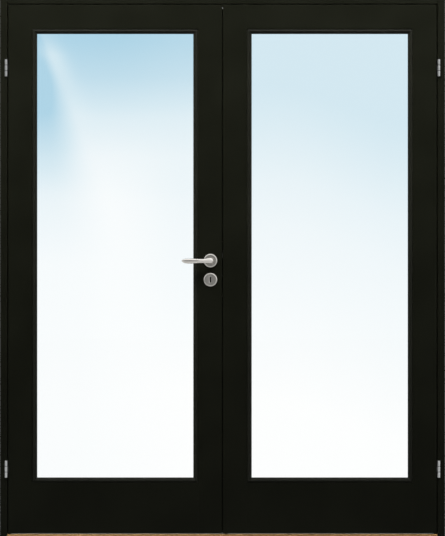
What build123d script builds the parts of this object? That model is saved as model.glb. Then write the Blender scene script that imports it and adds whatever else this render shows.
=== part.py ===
from build123d import *
import math
import os

# A pair of fully glazed french doors in a rebated timber frame, in millimetres.
# X runs to the right as seen from the room that the leaves open into, Y runs away from
# that room and Z runs up. The origin is on the floor, in the middle of the frame.

# Leaves
leaf_width = 825.0
leaf_height = 2040.0
leaf_thickness = 40.0
stile_width = 92.0
top_rail_height = 93.5
bottom_rail_height = 196.0
tenon_thickness = 12.0
tenon_length = 60.0
tenon_shoulder = 16.0
tenon_haunch = 22.0
mortise_spare = 2.0
leaf_arris = 1.2

# Running gaps round the leaves
side_gap = 3.0
meeting_gap = 3.0
top_gap = 2.5
bottom_gap = 2.5

# Frame
frame_depth = 92.0
jamb_face = 30.0
stop_height = 12.0
seal_space = 4.0
head_lap = 15.0
frame_arris = 1.8
threshold_thickness = 15.0
threshold_bevel = 3.0
wall_hole_radius = 3.5
wall_hole_ends = 150.0
wall_hole_step = 560.0

# Seals
kerf_width = 3.0
kerf_depth = 6.0
kerf_from_corner = 4.5
seal_bulb_width = 7.0
seal_bevel = 1.6
seal_clear = 0.3
stem_clear = 0.1

# Glass, with its edging
glass_thickness = 6.0
glass_edge_gap = 3.0
strip_thickness = 2.0
strip_width = 14.0
strip_inset = 1.0
bead_width = 18.5
bead_fall = 3.0
bead_outer_bevel = 1.3
bead_inner_bevel = 2.0
block_length = 100.0
block_from_corner = 80.0

# Hinges
upper_hinge_drop = 244.0
lower_hinge_rise = 248.0
barrel_radius = 5.2
barrel_clear = 0.3
knuckle_length = 21.5
knuckle_gap = 0.4
plate_width = 30.0
plate_thickness = 2.0
crank_thickness = 2.4
crank_clear = 0.6
pin_radius = 2.75
pin_fit = 0.05

# Lock in the active leaf
lever_height = 1070.0
key_drop = 66.0
backset = 45.0
forend_thickness = 3.0
forend_width = 22.0
forend_length = 230.0
case_thickness = 14.0
case_wall = 1.5
case_depth = 65.5
case_margin = 45.0
pocket_clear = 0.3
follower_radius = 9.0
follower_fit = 0.05
follower_arm = 18.0
arm_tip_radius = 3.0
arm_lead = 1.1
latch_rise = 20.0
latch_height = 20.0
latch_throw = 12.0
latch_head_length = 30.0
latch_nose = 2.7
latch_bevel = 10.0
bolt_clear = 0.3
tail_width = 4.0
tail_height = 5.0
tail_rise = 5.0
lug_thickness = 4.0
guide_from_follower = 8.5
spring_half = 4.2
spring_wire = 0.8
spring_turns = 4
dead_bolt_rise = 22.0
dead_bolt_height = 20.0
dead_bolt_throw = 14.0
dead_bolt_length = 32.0
dead_bolt_sunk = 0.5
dead_bolt_tail = 26.0
talon_width = 10.0
talon_depth = 6.0

# Handles and key roses
spindle_side = 8.0
socket_clear = 0.1
spindle_grip = 22.0
rose_radius = 26.0
rose_thickness = 8.0
rose_bevel = 2.0
rose_bevel_fall = 1.2
lever_fit = 0.05
lever_rise = 0.3
neck_radius = 10.5
grip_stand = 52.0
grip_reach = 111.0
grip_thickness = 14.0
grip_bevel = 3.0
grip_bevel_width = 4.5
grip_lean = 10.0
grip_waist = (28.0, 8.5)
grip_fullest = (82.0, 10.3)
grip_tip = 6.0
spindle_hole_radius = 10.0
keyhole_radius = 3.2
keyhole_slot = 5.2
keyhole_drop = 18.6
key_passage_clear = 2.0

# Strike plate and flush bolts in the inactive leaf
strike_thickness = 2.0
strike_width = 24.0
strike_margin = 12.0
strike_clear = 1.0
strike_pocket = 14.0
flush_plate_thickness = 3.0
flush_plate_width = 20.0
flush_plate_length = 220.0
flush_rod_radius = 5.0
flush_rod_inset = 12.0
flush_rod_clear = 0.3
flush_travel = 16.0
flush_thumb_from_end = 150.0
flush_thumb_width = 8.0
flush_upper_catch = 12.0
flush_lower_catch = 10.0
keep_thickness = 2.0
keep_length = 40.0
keep_width = 22.0
keep_hole_clear = 1.0
keep_pocket_spare = 1.0

# Stop bar on the back of the inactive leaf
bar_width = 44.0
bar_thickness = 16.0
bar_overlap = 13.0
bar_end_gap = 3.0

# How far a cut runs past the face that it opens
cut_past = 1.0

# Planes and levels that follow from the sizes above
front = -frame_depth / 2
back = frame_depth / 2
leaf_back = front + leaf_thickness
leaf_middle = front + leaf_thickness / 2
stop_front = leaf_back + seal_space
meet_x = meeting_gap / 2
edge_x = meet_x + leaf_width
rebate_x = edge_x + side_gap
outer_x = rebate_x + jamb_face
stop_x = rebate_x - stop_height
leaf_bottom = threshold_thickness + bottom_gap
leaf_top = leaf_bottom + leaf_height
rebate_top = leaf_top + top_gap
stop_z = rebate_top - stop_height
frame_top = rebate_top + jamb_face
opening_near = meet_x + stile_width
opening_far = edge_x - stile_width
opening_low = leaf_bottom + bottom_rail_height
opening_high = leaf_top - top_rail_height
hinge_height = 3 * knuckle_length + 2 * knuckle_gap
hinge_levels = {"upper": leaf_top - upper_hinge_drop, "lower": leaf_bottom + lower_hinge_rise}
barrel_x = rebate_x + barrel_radius
barrel_y = front - barrel_radius - barrel_clear
pane_front = leaf_middle - glass_thickness / 2
pane_back = leaf_middle + glass_thickness / 2
bead_depth = (leaf_thickness - glass_thickness) / 2 - strip_thickness
lock_x = -(meet_x + backset)
key_height = lever_height - key_drop
latch_level = lever_height + latch_rise
dead_bolt_level = key_height + dead_bolt_rise
case_front = -(meet_x + forend_thickness)
case_rear = case_front - case_depth
case_low = key_height - case_margin
case_high = lever_height + case_margin
cavity = (case_thickness - 2 * case_wall) / 2
bolt_half = cavity - bolt_clear
flush_x = meet_x + flush_rod_inset

left, right = -1, 1
outwards = {"front": Vector(0, -1, 0), "back": Vector(0, 1, 0)}
face_level = {"front": front, "back": leaf_back}


def slab(xs, ys, zs):
    """A block between the two values of each range, given in any order."""
    ranges = (xs, ys, zs)
    middle = [(a + b) / 2 for a, b in ranges]
    return Pos(*middle) * Box(*[abs(b - a) for a, b in ranges])


def rod(radius, start, direction, length):
    """A round bar that starts at a point and runs along a direction."""
    on_end = (Align.CENTER, Align.CENTER, Align.MIN)
    return Plane(origin=start, z_dir=direction) * Cylinder(radius, length, align=on_end)


def around(middle, half):
    """The range that reaches the same way to both sides of a middle value."""
    return (middle - half, middle + half)


def grouped(pieces):
    """Separate solids of one kind, kept together."""
    return Compound([solid for piece in pieces for solid in piece.solids()])


def near(a, b):
    """Whether two lengths are the same to a hundredth of a millimetre."""
    return abs(a - b) < 0.01


def eased(shape, size, wanted):
    """The shape with those edges bevelled whose middle point is wanted."""
    return chamfer([e for e in shape.edges() if wanted(e.center())], size)


def frame_section(place):
    """The section of jambs and head; place turns distance past the rebate face and depth into a point."""
    corners = [
        (0, front),
        (jamb_face, front),
        (jamb_face, back),
        (-stop_height, back),
        (-stop_height, stop_front),
        (0, stop_front),
    ]
    outline = make_face(Polyline(*[place(*c) for c in corners], close=True))
    soft = [place(0, front), place(-stop_height, stop_front), place(-stop_height, back)]
    picked = [v for v in outline.vertices() if any(math.dist((v.X, v.Y), s) < 0.01 for s in soft)]
    return chamfer(picked, frame_arris)


def wall_hole_levels():
    """Heights of the holes for the screws that hold the frame in a wall."""
    low, high = wall_hole_ends, frame_top - wall_hole_ends
    middle = (low + high) / 2
    return [low, middle - wall_hole_step / 2, middle + wall_hole_step / 2, high]


def hinge_blank(face_x, inner_x, level, spare=0.0):
    """The let-in part of a hinge plate, or with spare the pocket for it."""
    half = hinge_height / 2 + spare
    return slab((face_x, inner_x), (front, front + plate_width + spare), around(level, half))


def knuckle(side, low):
    """One knuckle of a hinge barrel, still solid, above a given level."""
    return rod(barrel_radius, (side * barrel_x, barrel_y, low), (0, 0, 1), knuckle_length)


def knuckle_low(level, index):
    """The lower end of a knuckle, counted from the bottom of the hinge."""
    return level - hinge_height / 2 + index * (knuckle_length + knuckle_gap)


def hinge_pin(side, level):
    """The pin of a hinge, from the middle of its lower knuckle to the middle of its upper one."""
    low = knuckle_low(level, 0) + knuckle_length / 2
    return rod(pin_radius, (side * barrel_x, barrel_y, low), (0, 0, 1), hinge_height - knuckle_length)


def pin_bore(side, level):
    """The bore for the pin, along the whole height of a hinge."""
    low = level - hinge_height / 2
    return rod(pin_radius + pin_fit, (side * barrel_x, barrel_y, low), (0, 0, 1), hinge_height)


def hinge_frame_plate(side, level):
    """Frame half of a hinge: a plate in the rebate face, two knuckles and the pin that is fixed in them."""
    face_x, inner_x = side * rebate_x, side * (rebate_x + plate_thickness)
    plate = hinge_blank(face_x, inner_x, level)
    for index in (0, 2):
        low = knuckle_low(level, index)
        plate += slab((face_x, inner_x), (barrel_y, front), (low, low + knuckle_length))
        plate += knuckle(side, low)
    return plate + hinge_pin(side, level)


def hinge_leaf_plate(side, level):
    """Leaf half of a hinge: a plate in the leaf's edge, cranked round the frame to the middle knuckle."""
    face_x, inner_x = side * edge_x, side * (edge_x - plate_thickness)
    crank_back = front - crank_clear
    crank_front = crank_back - crank_thickness
    low = knuckle_low(level, 1)
    heights = (low, low + knuckle_length)
    plate = hinge_blank(face_x, inner_x, level)
    plate += slab((face_x, inner_x), (crank_front, front), heights)
    plate += slab((side * barrel_x, inner_x), (crank_front, crank_back), heights)
    plate += knuckle(side, low)
    return plate - pin_bore(side, level)


def upright_seal(x, zs):
    """A seal that stands in the kerf at x, with its bulb close to the back of a leaf."""
    stem_half = kerf_width / 2 - stem_clear
    bulb_front = leaf_back + seal_clear
    bulb = slab(around(x, seal_bulb_width / 2), (bulb_front, stop_front), zs)
    bulb = eased(bulb, seal_bevel, lambda c: near(c.Y, bulb_front) and not near(c.X, x))
    return bulb + slab(around(x, stem_half), (stop_front, stop_front + kerf_depth - seal_clear), zs)


def frame_seals():
    """The seals of both jambs, with the head's seal between them."""
    kerf_x = rebate_x - kerf_from_corner
    kerf_z = rebate_top - kerf_from_corner
    strips = [upright_seal(s * kerf_x, (threshold_thickness, rebate_top)) for s in (left, right)]
    bulb_front = leaf_back + seal_clear
    reach = kerf_x - seal_bulb_width / 2
    bulb = slab((-reach, reach), (bulb_front, stop_front), around(kerf_z, seal_bulb_width / 2))
    bulb = eased(bulb, seal_bevel, lambda c: near(c.Y, bulb_front) and not near(c.Z, kerf_z))
    stem_depths = (stop_front, stop_front + kerf_depth - seal_clear)
    stem_heights = around(kerf_z, kerf_width / 2 - stem_clear)
    return grouped(strips + [bulb + slab((-stop_x, stop_x), stem_depths, stem_heights)])


def kerf(xs, zs):
    """The groove in the front of a stop that holds a seal."""
    return slab(xs, (stop_front, stop_front + kerf_depth), zs)


def jamb(side):
    """One upright of the frame, with the stop on it, hinge pockets, kerf and holes for wall screws."""
    post = extrude(frame_section(lambda u, v: (side * (rebate_x + u), v)), frame_top - head_lap)
    over_stop = (side * (stop_x - cut_past), side * rebate_x)
    post -= slab(over_stop, (stop_front - cut_past, back + cut_past), (rebate_top, frame_top))
    kerf_x = side * (rebate_x - kerf_from_corner)
    post -= kerf(around(kerf_x, kerf_width / 2), (0, rebate_top))
    for level in hinge_levels.values():
        face_x, inner_x = side * rebate_x, side * (rebate_x + plate_thickness)
        post -= hinge_blank(face_x, inner_x, level, pocket_clear)
    for level in wall_hole_levels():
        post -= rod(wall_hole_radius, (side * rebate_x, leaf_middle, level), (side, 0, 0), jamb_face)
    return post


def head():
    """The top of the frame; its upper half laps over the jambs and its stop runs between theirs."""
    beam = Plane.YZ * frame_section(lambda u, v: (v, rebate_top + u))
    beam = extrude(beam, outer_x, both=True)
    depths = (front - cut_past, back + cut_past)
    for side in (left, right):
        beyond = side * (outer_x + cut_past)
        beam -= slab((side * rebate_x, beyond), depths, (stop_z - cut_past, frame_top - head_lap))
        beam -= slab((side * stop_x, beyond), depths, (stop_z - cut_past, rebate_top))
    kerf_z = rebate_top - kerf_from_corner
    beam -= kerf((-stop_x, stop_x), around(kerf_z, kerf_width / 2))
    beam -= keep_blank(rebate_top, 1, pocket_clear)
    depth = flush_upper_catch + keep_pocket_spare
    beam -= rod(keep_hole_radius(), (flush_x, leaf_middle, rebate_top), (0, 0, 1), depth)
    return beam


def threshold():
    """The oak board between the jambs, notched round their stops and bevelled at front and back."""
    board = slab((-rebate_x, rebate_x), (front, back), (0, threshold_thickness))
    board = chamfer(
        [e for e in board.edges() if near(e.center().Z, threshold_thickness) and near(e.center().X, 0)],
        threshold_bevel,
    )
    for side in (left, right):
        xs = (side * stop_x, side * (rebate_x + cut_past))
        board -= slab(xs, (stop_front, back + cut_past), (-cut_past, threshold_thickness + cut_past))
    board -= keep_blank(threshold_thickness, -1, pocket_clear)
    depth = flush_lower_catch + keep_pocket_spare
    at = (flush_x, leaf_middle, threshold_thickness)
    board -= rod(keep_hole_radius(), at, (0, 0, -1), depth)
    return board


def keep_hole_radius():
    """The radius of the bore that a flush bolt enters, and half the width of its plate's hole."""
    return flush_rod_radius + keep_hole_clear


def keep_blank(level, way, spare=0.0):
    """A keep plate let in behind a level face, or with spare the pocket for it."""
    xs = around(flush_x, keep_length / 2 + spare)
    ys = around(leaf_middle, keep_width / 2 + spare)
    return slab(xs, ys, (level, level + way * keep_thickness))


def bolt_keep(level, way):
    """The plate that a flush bolt enters by a square hole, flush with the head or with the threshold."""
    hole_xs, hole_ys = around(flush_x, keep_hole_radius()), around(leaf_middle, keep_hole_radius())
    return keep_blank(level, way) - slab(hole_xs, hole_ys, (level, level + way * keep_thickness))


def tenon_heights():
    """The height range of each tenon: one on the top rail and a pair on the bottom rail."""
    top = (opening_high + tenon_shoulder, leaf_top - tenon_haunch)
    low, high = leaf_bottom + tenon_haunch, opening_low - tenon_shoulder
    each = (high - low - tenon_shoulder) / 2
    return {"top": [top], "bottom": [(low, low + each), (high - each, high)]}


def stile(side, outer, inner):
    """One upright of a leaf from its outer edge to the rails, with mortises for their tenons."""
    post = slab((side * outer, side * inner), (front, leaf_back), (leaf_bottom, leaf_top))
    post = eased(post, leaf_arris, lambda c: near(c.X, side * outer) and near(c.Z, leaf_middle_level()))
    depth = math.copysign(tenon_length + mortise_spare, outer - inner)
    for heights in sum(tenon_heights().values(), []):
        xs = (side * inner, side * (inner + depth))
        post -= slab(xs, around(leaf_middle, tenon_thickness / 2), heights)
    return post


def leaf_middle_level():
    """The level half-way up a leaf."""
    return (leaf_bottom + leaf_top) / 2


def rail(side, name, low, high):
    """A rail between the two stiles of a leaf, with a tenon or two at each end."""
    beam = slab((side * opening_near, side * opening_far), (front, leaf_back), (low, high))
    tips = (side * (opening_near - tenon_length), side * (opening_far + tenon_length))
    for heights in tenon_heights()[name]:
        beam += slab(tips, around(leaf_middle, tenon_thickness / 2), heights)
    return beam


def hinge_stile(side):
    """The stile that hangs on the hinges, with a pocket for each of their plates."""
    post = stile(side, edge_x, opening_far)
    for level in hinge_levels.values():
        face_x, inner_x = side * edge_x, side * (edge_x - plate_thickness)
        post -= hinge_blank(face_x, inner_x, level, pocket_clear)
    return post


def glass_sheet(side, inset, ys):
    """A flat sheet in the glazed opening of a leaf, held back from the opening's edges all round."""
    xs = (side * (opening_near + inset), side * (opening_far - inset))
    return slab(xs, ys, (opening_low + inset, opening_high - inset))


def glass_pane(side):
    """The pane, short of the opening by the edge gap all round."""
    return glass_sheet(side, glass_edge_gap, (pane_front, pane_back))


def setting_blocks(side):
    """The two blocks that carry the pane on the bottom rail."""
    blocks = []
    for start, way in ((opening_near, 1), (opening_far, -1)):
        first = start + way * block_from_corner
        xs = (side * first, side * (first + way * block_length))
        blocks.append(slab(xs, (pane_front, pane_back), (opening_low, opening_low + glass_edge_gap)))
    return grouped(blocks)


def opening_sides(side):
    """Middle, inward direction and length of each side of the glazed opening of a leaf."""
    middle_x = side * (opening_near + opening_far) / 2
    middle_z = (opening_low + opening_high) / 2
    width, height = opening_far - opening_near, opening_high - opening_low
    return [
        ((middle_x, opening_low), Vector(0, 0, 1), width),
        ((middle_x, opening_high), Vector(0, 0, -1), width),
        ((middle_x - width / 2, middle_z), Vector(1, 0, 0), height),
        ((middle_x + width / 2, middle_z), Vector(-1, 0, 0), height),
    ]


def edging(side, face, section):
    """Four mitred lengths of a section round the opening, on one face of a leaf.

    The section's X runs from the opening's edge over the glass and its Y out of the leaf.
    """
    outward = outwards[face]
    level = pane_front - strip_thickness if face == "front" else pane_back + strip_thickness
    pieces = []
    for (x, z), inward, length in opening_sides(side):
        strip = extrude(Plane.YZ * section, length / 2, both=True)
        for end in (-1, 1):
            mitre = Plane(origin=(end * length / 2, 0, 0), z_dir=(-end, -1, 0))
            strip = split(strip, bisect_by=mitre, keep=Keep.TOP)
        place = Plane(origin=(x, level, z), x_dir=inward.cross(outward), z_dir=outward)
        pieces.append(place * strip)
    return pieces


def bead_section():
    """A bead that falls from the leaf's face towards the glass, bevelled along both front corners."""
    inner_height = bead_depth - bead_fall
    outline = [
        (0, 0),
        (bead_width, 0),
        (bead_width, inner_height - bead_inner_bevel),
        (bead_width - bead_inner_bevel, inner_height),
        (bead_outer_bevel, bead_depth),
        (0, bead_depth - bead_outer_bevel),
    ]
    return make_face(Polyline(*outline, close=True))


def strip_ring(side, level):
    """One endless strip that lies on the glass all round, above a level along the leaf's depth."""
    ring = glass_sheet(side, strip_inset, (level, level + strip_thickness))
    return ring - glass_sheet(side, strip_inset + strip_width, (level, level + strip_thickness))


def glazing_strips(side):
    """The strips between the pane and the beads, on both of its faces."""
    return grouped([strip_ring(side, pane_front - strip_thickness), strip_ring(side, pane_back)])


def latch_mouth(heights, reach, spare):
    """The passage of a bolt through forend, case wall or strike plate."""
    return slab(reach, around(leaf_middle, bolt_half + spare), heights)


def keyhole(level, way, depth, spare=0.0):
    """A keyhole cut from a level along the depth of the leaf: a round top and a slot below it."""
    round_top = Pos(lock_x, key_height) * Circle(keyhole_radius + spare)
    slot_low = key_height - keyhole_drop - spare
    slot_size = (keyhole_slot + 2 * spare, key_height - slot_low)
    slot = Pos(lock_x, (slot_low + key_height) / 2) * Rectangle(*slot_size)
    shape = Plane.XZ.offset(-level) * (round_top + slot)
    return extrude(shape, -way * depth)


def lock_stile():
    """The active leaf's meeting stile, mortised for the lock and bored for handle and key."""
    post = stile(left, meet_x, opening_near)
    half = case_thickness / 2 + pocket_clear
    case_heights = (case_low - pocket_clear, case_high + pocket_clear)
    post -= slab((-meet_x, case_rear - pocket_clear), around(leaf_middle, half), case_heights)
    post -= forend_blank(pocket_clear)
    at = (lock_x, front, lever_height)
    post -= rod(spindle_hole_radius, at, (0, 1, 0), leaf_thickness)
    post -= keyhole(front, 1, leaf_thickness, key_passage_clear)
    return post


def forend_blank(spare=0.0):
    """The forend of the lock let in flush with the leaf's edge, or with spare its pocket."""
    middle = (case_low + case_high) / 2
    ys = around(leaf_middle, forend_width / 2 + spare)
    return slab((-meet_x, case_front), ys, around(middle, forend_length / 2 + spare))


def lock_mouths(reach, spare=0.0):
    """The openings for latch and dead bolt, one above the other."""
    half_latch = latch_height / 2 + bolt_clear + spare
    half_dead = dead_bolt_height / 2 + bolt_clear + spare
    return [
        latch_mouth(around(latch_level, half_latch), reach, bolt_clear + spare),
        latch_mouth(around(dead_bolt_level, half_dead), reach, bolt_clear + spare),
    ]


def lock_forend():
    """The plate in the leaf's edge that latch and dead bolt pass through."""
    return forend_blank() - lock_mouths((cut_past - meet_x, case_front - cut_past))


def case_holes():
    """What is bored through both sides of the lock case."""
    low = leaf_middle - case_thickness / 2
    holes = [rod(follower_radius + follower_fit, (lock_x, low, lever_height), (0, 1, 0), case_thickness)]
    return holes + [keyhole(low, 1, case_thickness, pocket_clear)]


def lock_case():
    """The tray of the lock, open to the back, with the guide that the latch's tail runs in."""
    xs, zs = (case_rear, case_front), (case_low, case_high)
    low = leaf_middle - case_thickness / 2
    high = leaf_middle + case_thickness / 2 - case_wall
    tray = slab(xs, (low, high), zs)
    inner_x = (case_rear + case_wall, case_front - case_wall)
    inner_z = (case_low + case_wall, case_high - case_wall)
    tray -= slab(inner_x, (low + case_wall, high), inner_z)
    guide_x = guide_range()
    tray += slab(guide_x, (low + case_wall, high), (latch_level, inner_z[1]))
    tail_z = latch_level + tail_rise
    slot_y = around(leaf_middle, tail_width / 2 + bolt_clear)
    tray -= slab(guide_x, slot_y, around(tail_z, tail_height / 2 + bolt_clear))
    return tray - lock_mouths((case_front + cut_past, case_front - case_wall)) - case_holes()


def lock_cover():
    """The plate that closes the lock case."""
    high = leaf_middle + case_thickness / 2
    plate = slab((case_rear, case_front), (high - case_wall, high), (case_low, case_high))
    return plate - case_holes()


def guide_range():
    """The thickness range, along X, of the guide that carries the latch's tail."""
    start = lock_x + guide_from_follower
    return (start, start + case_wall)


def follower():
    """The hub that the spindle turns, with the arm that draws the latch back."""
    half = case_thickness / 2 - socket_clear
    hub = rod(follower_radius, (lock_x, leaf_middle - half, lever_height), (0, 1, 0), 2 * half)
    tip_z = lever_height + follower_arm
    hub += slab(around(lock_x, arm_tip_radius), around(leaf_middle, bolt_half), (lever_height, tip_z))
    hub += rod(arm_tip_radius, (lock_x, leaf_middle - bolt_half, tip_z), (0, 1, 0), 2 * bolt_half)
    return hub - spindle_bar(socket_clear / 2)


def spindle_bar(spare=0.0):
    """The square bar through both levers and the follower, or with spare its socket."""
    half = spindle_side / 2 + spare
    reach = rose_thickness + spindle_grip
    ys = (front - reach - spare, leaf_back + reach + spare)
    return slab(around(lock_x, half), ys, around(lever_height, half))


def latch_bolt():
    """The spring latch: a bevelled head, a tail through the guide and a lug behind the follower's arm."""
    tip = -meet_x + latch_throw
    rear = tip - latch_head_length
    low, high = leaf_middle - bolt_half, leaf_middle + bolt_half
    outline = [(rear, low), (tip, low), (tip, low + latch_nose), (tip - latch_bevel, high), (rear, high)]
    bolt = extrude(make_face(Polyline(*outline, close=True)), latch_height)
    bolt = Pos(0, 0, latch_level - latch_height / 2) * bolt
    lug_x = lock_x - arm_tip_radius - arm_lead
    tail_z = latch_level + tail_rise
    tail_y = around(leaf_middle, tail_width / 2)
    bolt += slab((lug_x - lug_thickness, rear), tail_y, around(tail_z, tail_height / 2))
    lug_low = lever_height + follower_radius
    return bolt + slab((lug_x - lug_thickness, lug_x), tail_y, (lug_low, tail_z))


def latch_spring():
    """The spring round the latch's tail, wound square, between the latch's head and the guide."""
    spare = bolt_clear + spring_wire / 2
    start = guide_range()[1] + spare
    end = -meet_x + latch_throw - latch_head_length - spare
    corners = [(1, 1), (-1, 1), (-1, -1), (1, -1)]
    legs = 4 * spring_turns
    path = []
    for leg in range(legs + 1):
        across, up = corners[leg % 4]
        x = start + (end - start) * leg / legs
        path.append((x, leaf_middle + across * spring_half, latch_level + tail_rise + up * spring_half))
    path = Polyline(*path)
    wire = Plane(origin=path @ 0, z_dir=path % 0) * Rectangle(spring_wire, spring_wire)
    return sweep(wire, path=path, transition=Transition.RIGHT)


def dead_bolt():
    """The bolt that the key throws, drawn flush with the forend, with a talon for the key in its tail."""
    tip = -meet_x - dead_bolt_sunk
    rear = tip - dead_bolt_length
    low = dead_bolt_level - dead_bolt_height / 2
    bolt = latch_mouth((low, low + dead_bolt_height), (tip, rear), 0)
    tail_high = low + 2 * talon_depth
    bolt += slab((rear, rear - dead_bolt_tail), around(leaf_middle, tail_width / 2), (low, tail_high))
    return bolt - latch_mouth((low - cut_past, low + talon_depth), around(lock_x, talon_width / 2), cut_past)


def rose_disc():
    """A round rose with a bevelled rim, standing on the origin of its plane."""
    top = rose_radius - rose_bevel
    outline = [
        (0, 0),
        (rose_radius, 0),
        (rose_radius, rose_thickness - rose_bevel_fall),
        (top, rose_thickness),
        (0, rose_thickness),
    ]
    return revolve(Plane.XZ * make_face(Polyline(*outline, close=True)), Axis.Z)


def on_leaf(face, x, z):
    """A plane on a face of the leaf, with its Z out of the leaf and its X towards the hinges."""
    return Plane(origin=(x, face_level[face], z), x_dir=(-1, 0, 0), z_dir=outwards[face])


def handle_rose(face):
    """The rose that a lever turns in."""
    rose = on_leaf(face, lock_x, lever_height) * rose_disc()
    at = (lock_x, face_level[face], lever_height)
    return rose - rod(neck_radius + lever_fit, at, outwards[face], rose_thickness)


def key_rose(face):
    """The rose round the keyhole, centred on the keyhole's height."""
    middle = key_height + (keyhole_radius - keyhole_drop) / 2
    rose = on_leaf(face, lock_x, middle) * rose_disc()
    way = 1 if face == "back" else -1
    return rose - keyhole(face_level[face], way, rose_thickness)


def grip_outline():
    """The lever as seen on the leaf: round over the neck, slim behind it, fuller towards a blunt tip."""
    lean = math.radians(grip_lean)
    start = (neck_radius * math.sin(lean), neck_radius * math.cos(lean))
    waist = Line(start, grip_waist)
    bar = Line(grip_waist, grip_fullest)
    flank = [waist, bar, TangentArc(grip_fullest, (grip_reach, grip_tip / 2), tangent=bar % 1)]
    other = [mirror(edge, Plane.XZ) for edge in flank]
    tip = Line((grip_reach, grip_tip / 2), (grip_reach, -grip_tip / 2))
    return make_face(flank + other + [tip, ThreePointArc(start, (-neck_radius, 0), (start[0], -start[1]))])


def lever(face):
    """A handle lever: a round neck that turns in the rose and a bar, bevelled in front, along the leaf."""
    bar = Pos(0, 0, grip_stand - grip_thickness / 2) * extrude(grip_outline(), grip_thickness)
    bar = chamfer(bar.edges().group_by(Axis.Z)[-1], grip_bevel, grip_bevel_width)
    neck = rod(neck_radius, (0, 0, lever_rise), (0, 0, 1), grip_stand - lever_rise)
    return on_leaf(face, lock_x, lever_height) * (bar + neck) - spindle_bar(socket_clear / 2)


def strike_blank(spare=0.0):
    """The strike plate let in flush with the meeting edge, or with spare its pocket."""
    low = dead_bolt_level - dead_bolt_height / 2 - strike_margin
    high = latch_level + latch_height / 2 + strike_margin
    ys = around(leaf_middle, strike_width / 2 + spare)
    return slab((meet_x, meet_x + strike_thickness), ys, (low - spare, high + spare))


def strike_plate():
    """The plate in the inactive leaf that takes latch and dead bolt."""
    through = (meet_x - cut_past, meet_x + strike_thickness + cut_past)
    return strike_blank() - lock_mouths(through, strike_clear)


def flush_end(name):
    """The leaf's end that a flush bolt leaves, and the direction that it points."""
    return (leaf_top, 1) if name == "upper" else (leaf_bottom, -1)


def flush_blank(name, spare=0.0):
    """The face plate of a flush bolt in the meeting edge, or with spare its pocket."""
    end, way = flush_end(name)
    ys = around(leaf_middle, flush_plate_width / 2 + spare)
    low = end - way * (flush_plate_length + spare)
    return slab((meet_x, meet_x + flush_plate_thickness), ys, (low, end))


def flush_thumb(name, spare=0.0):
    """The height range of a flush bolt's thumb piece, or with spare of its whole travel."""
    end, way = flush_end(name)
    near_end = end - way * (flush_thumb_from_end - spare)
    far_end = near_end - way * (flush_travel + 2 * spare + (flush_travel if spare else 0))
    return (near_end, far_end)


def flush_plate(name):
    """The face plate of a flush bolt, slotted for the thumb piece."""
    ys = around(leaf_middle, flush_thumb_width / 2 + flush_rod_clear)
    slot_x = (meet_x - cut_past, meet_x + flush_plate_thickness + cut_past)
    slot = slab(slot_x, ys, flush_thumb(name, flush_rod_clear))
    return flush_blank(name) - slot


def flush_bolt(name):
    """A flush bolt: a round rod from its thumb piece through the end of the leaf into its keep."""
    end, way = flush_end(name)
    tip = rebate_top + flush_upper_catch if name == "upper" else threshold_thickness - flush_lower_catch
    heights = flush_thumb(name)
    bolt = rod(flush_rod_radius, (flush_x, leaf_middle, heights[1]), (0, 0, way), abs(tip - heights[1]))
    xs = (meet_x + flush_rod_clear, flush_x)
    return bolt + slab(xs, around(leaf_middle, flush_thumb_width / 2), heights)


def flush_pocket(name):
    """What a flush bolt needs in the stile: its plate's pocket, the thumb's slot and the rod's bore."""
    end, way = flush_end(name)
    radius = flush_rod_radius + flush_rod_clear
    heights = flush_thumb(name, flush_rod_clear)
    bore = rod(radius, (flush_x, leaf_middle, heights[1]), (0, 0, way), abs(end - heights[1]))
    slot = slab((meet_x, flush_x + radius), around(leaf_middle, radius), heights)
    return [flush_blank(name, pocket_clear), bore, slot]


def meeting_stile():
    """The inactive leaf's meeting stile, with pockets for strike plate, bolts and flush bolts."""
    post = stile(right, meet_x, opening_near) - strike_blank(pocket_clear)
    post -= lock_mouths((meet_x, meet_x + strike_pocket), strike_clear)
    dead_half = dead_bolt_height / 2 + bolt_clear + strike_clear
    deep = (meet_x, meet_x + dead_bolt_throw + strike_thickness + 2 * strike_clear)
    post -= latch_mouth(around(dead_bolt_level, dead_half), deep, bolt_clear + strike_clear)
    return post - flush_pocket("upper") - flush_pocket("lower")


def bar_kerf_x():
    """The middle of the kerf in the stop bar."""
    return meet_x - bar_overlap / 2


def meeting_stop():
    """The bar on the inactive leaf's back that the active leaf closes against."""
    xs = (meet_x - bar_overlap, meet_x - bar_overlap + bar_width)
    rear = leaf_back + bar_thickness
    zs = (leaf_bottom, stop_z - bar_end_gap)
    bar = slab(xs, (leaf_back, rear), zs)
    bar = eased(bar, frame_arris, lambda c: near(c.Y, rear) and any(near(c.X, x) for x in xs))
    behind_leaf = (xs[0] - cut_past, meet_x)
    bar -= slab(behind_leaf, (leaf_back - cut_past, stop_front), (zs[0] - cut_past, zs[1] + cut_past))
    return bar - kerf(around(bar_kerf_x(), kerf_width / 2), zs)


def meeting_seal():
    """The seal in the stop bar."""
    return upright_seal(bar_kerf_x(), (leaf_bottom, stop_z - bar_end_gap))


def leaf_nodes(side, name, meeting):
    """The wood, the glass and the edging of one leaf."""
    section = bead_section()
    return {
        f"{name}_hinge_stile": hinge_stile(side),
        f"{name}_{meeting[0]}": meeting[1],
        f"{name}_top_rail": rail(side, "top", opening_high, leaf_top),
        f"{name}_bottom_rail": rail(side, "bottom", leaf_bottom, opening_low),
        f"{name}_glass": glass_pane(side),
        f"{name}_glazing_strips": glazing_strips(side),
        f"{name}_setting_blocks": setting_blocks(side),
        f"{name}_front_beads": grouped(edging(side, "front", section)),
        f"{name}_back_beads": grouped(edging(side, "back", section)),
    }


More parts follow.
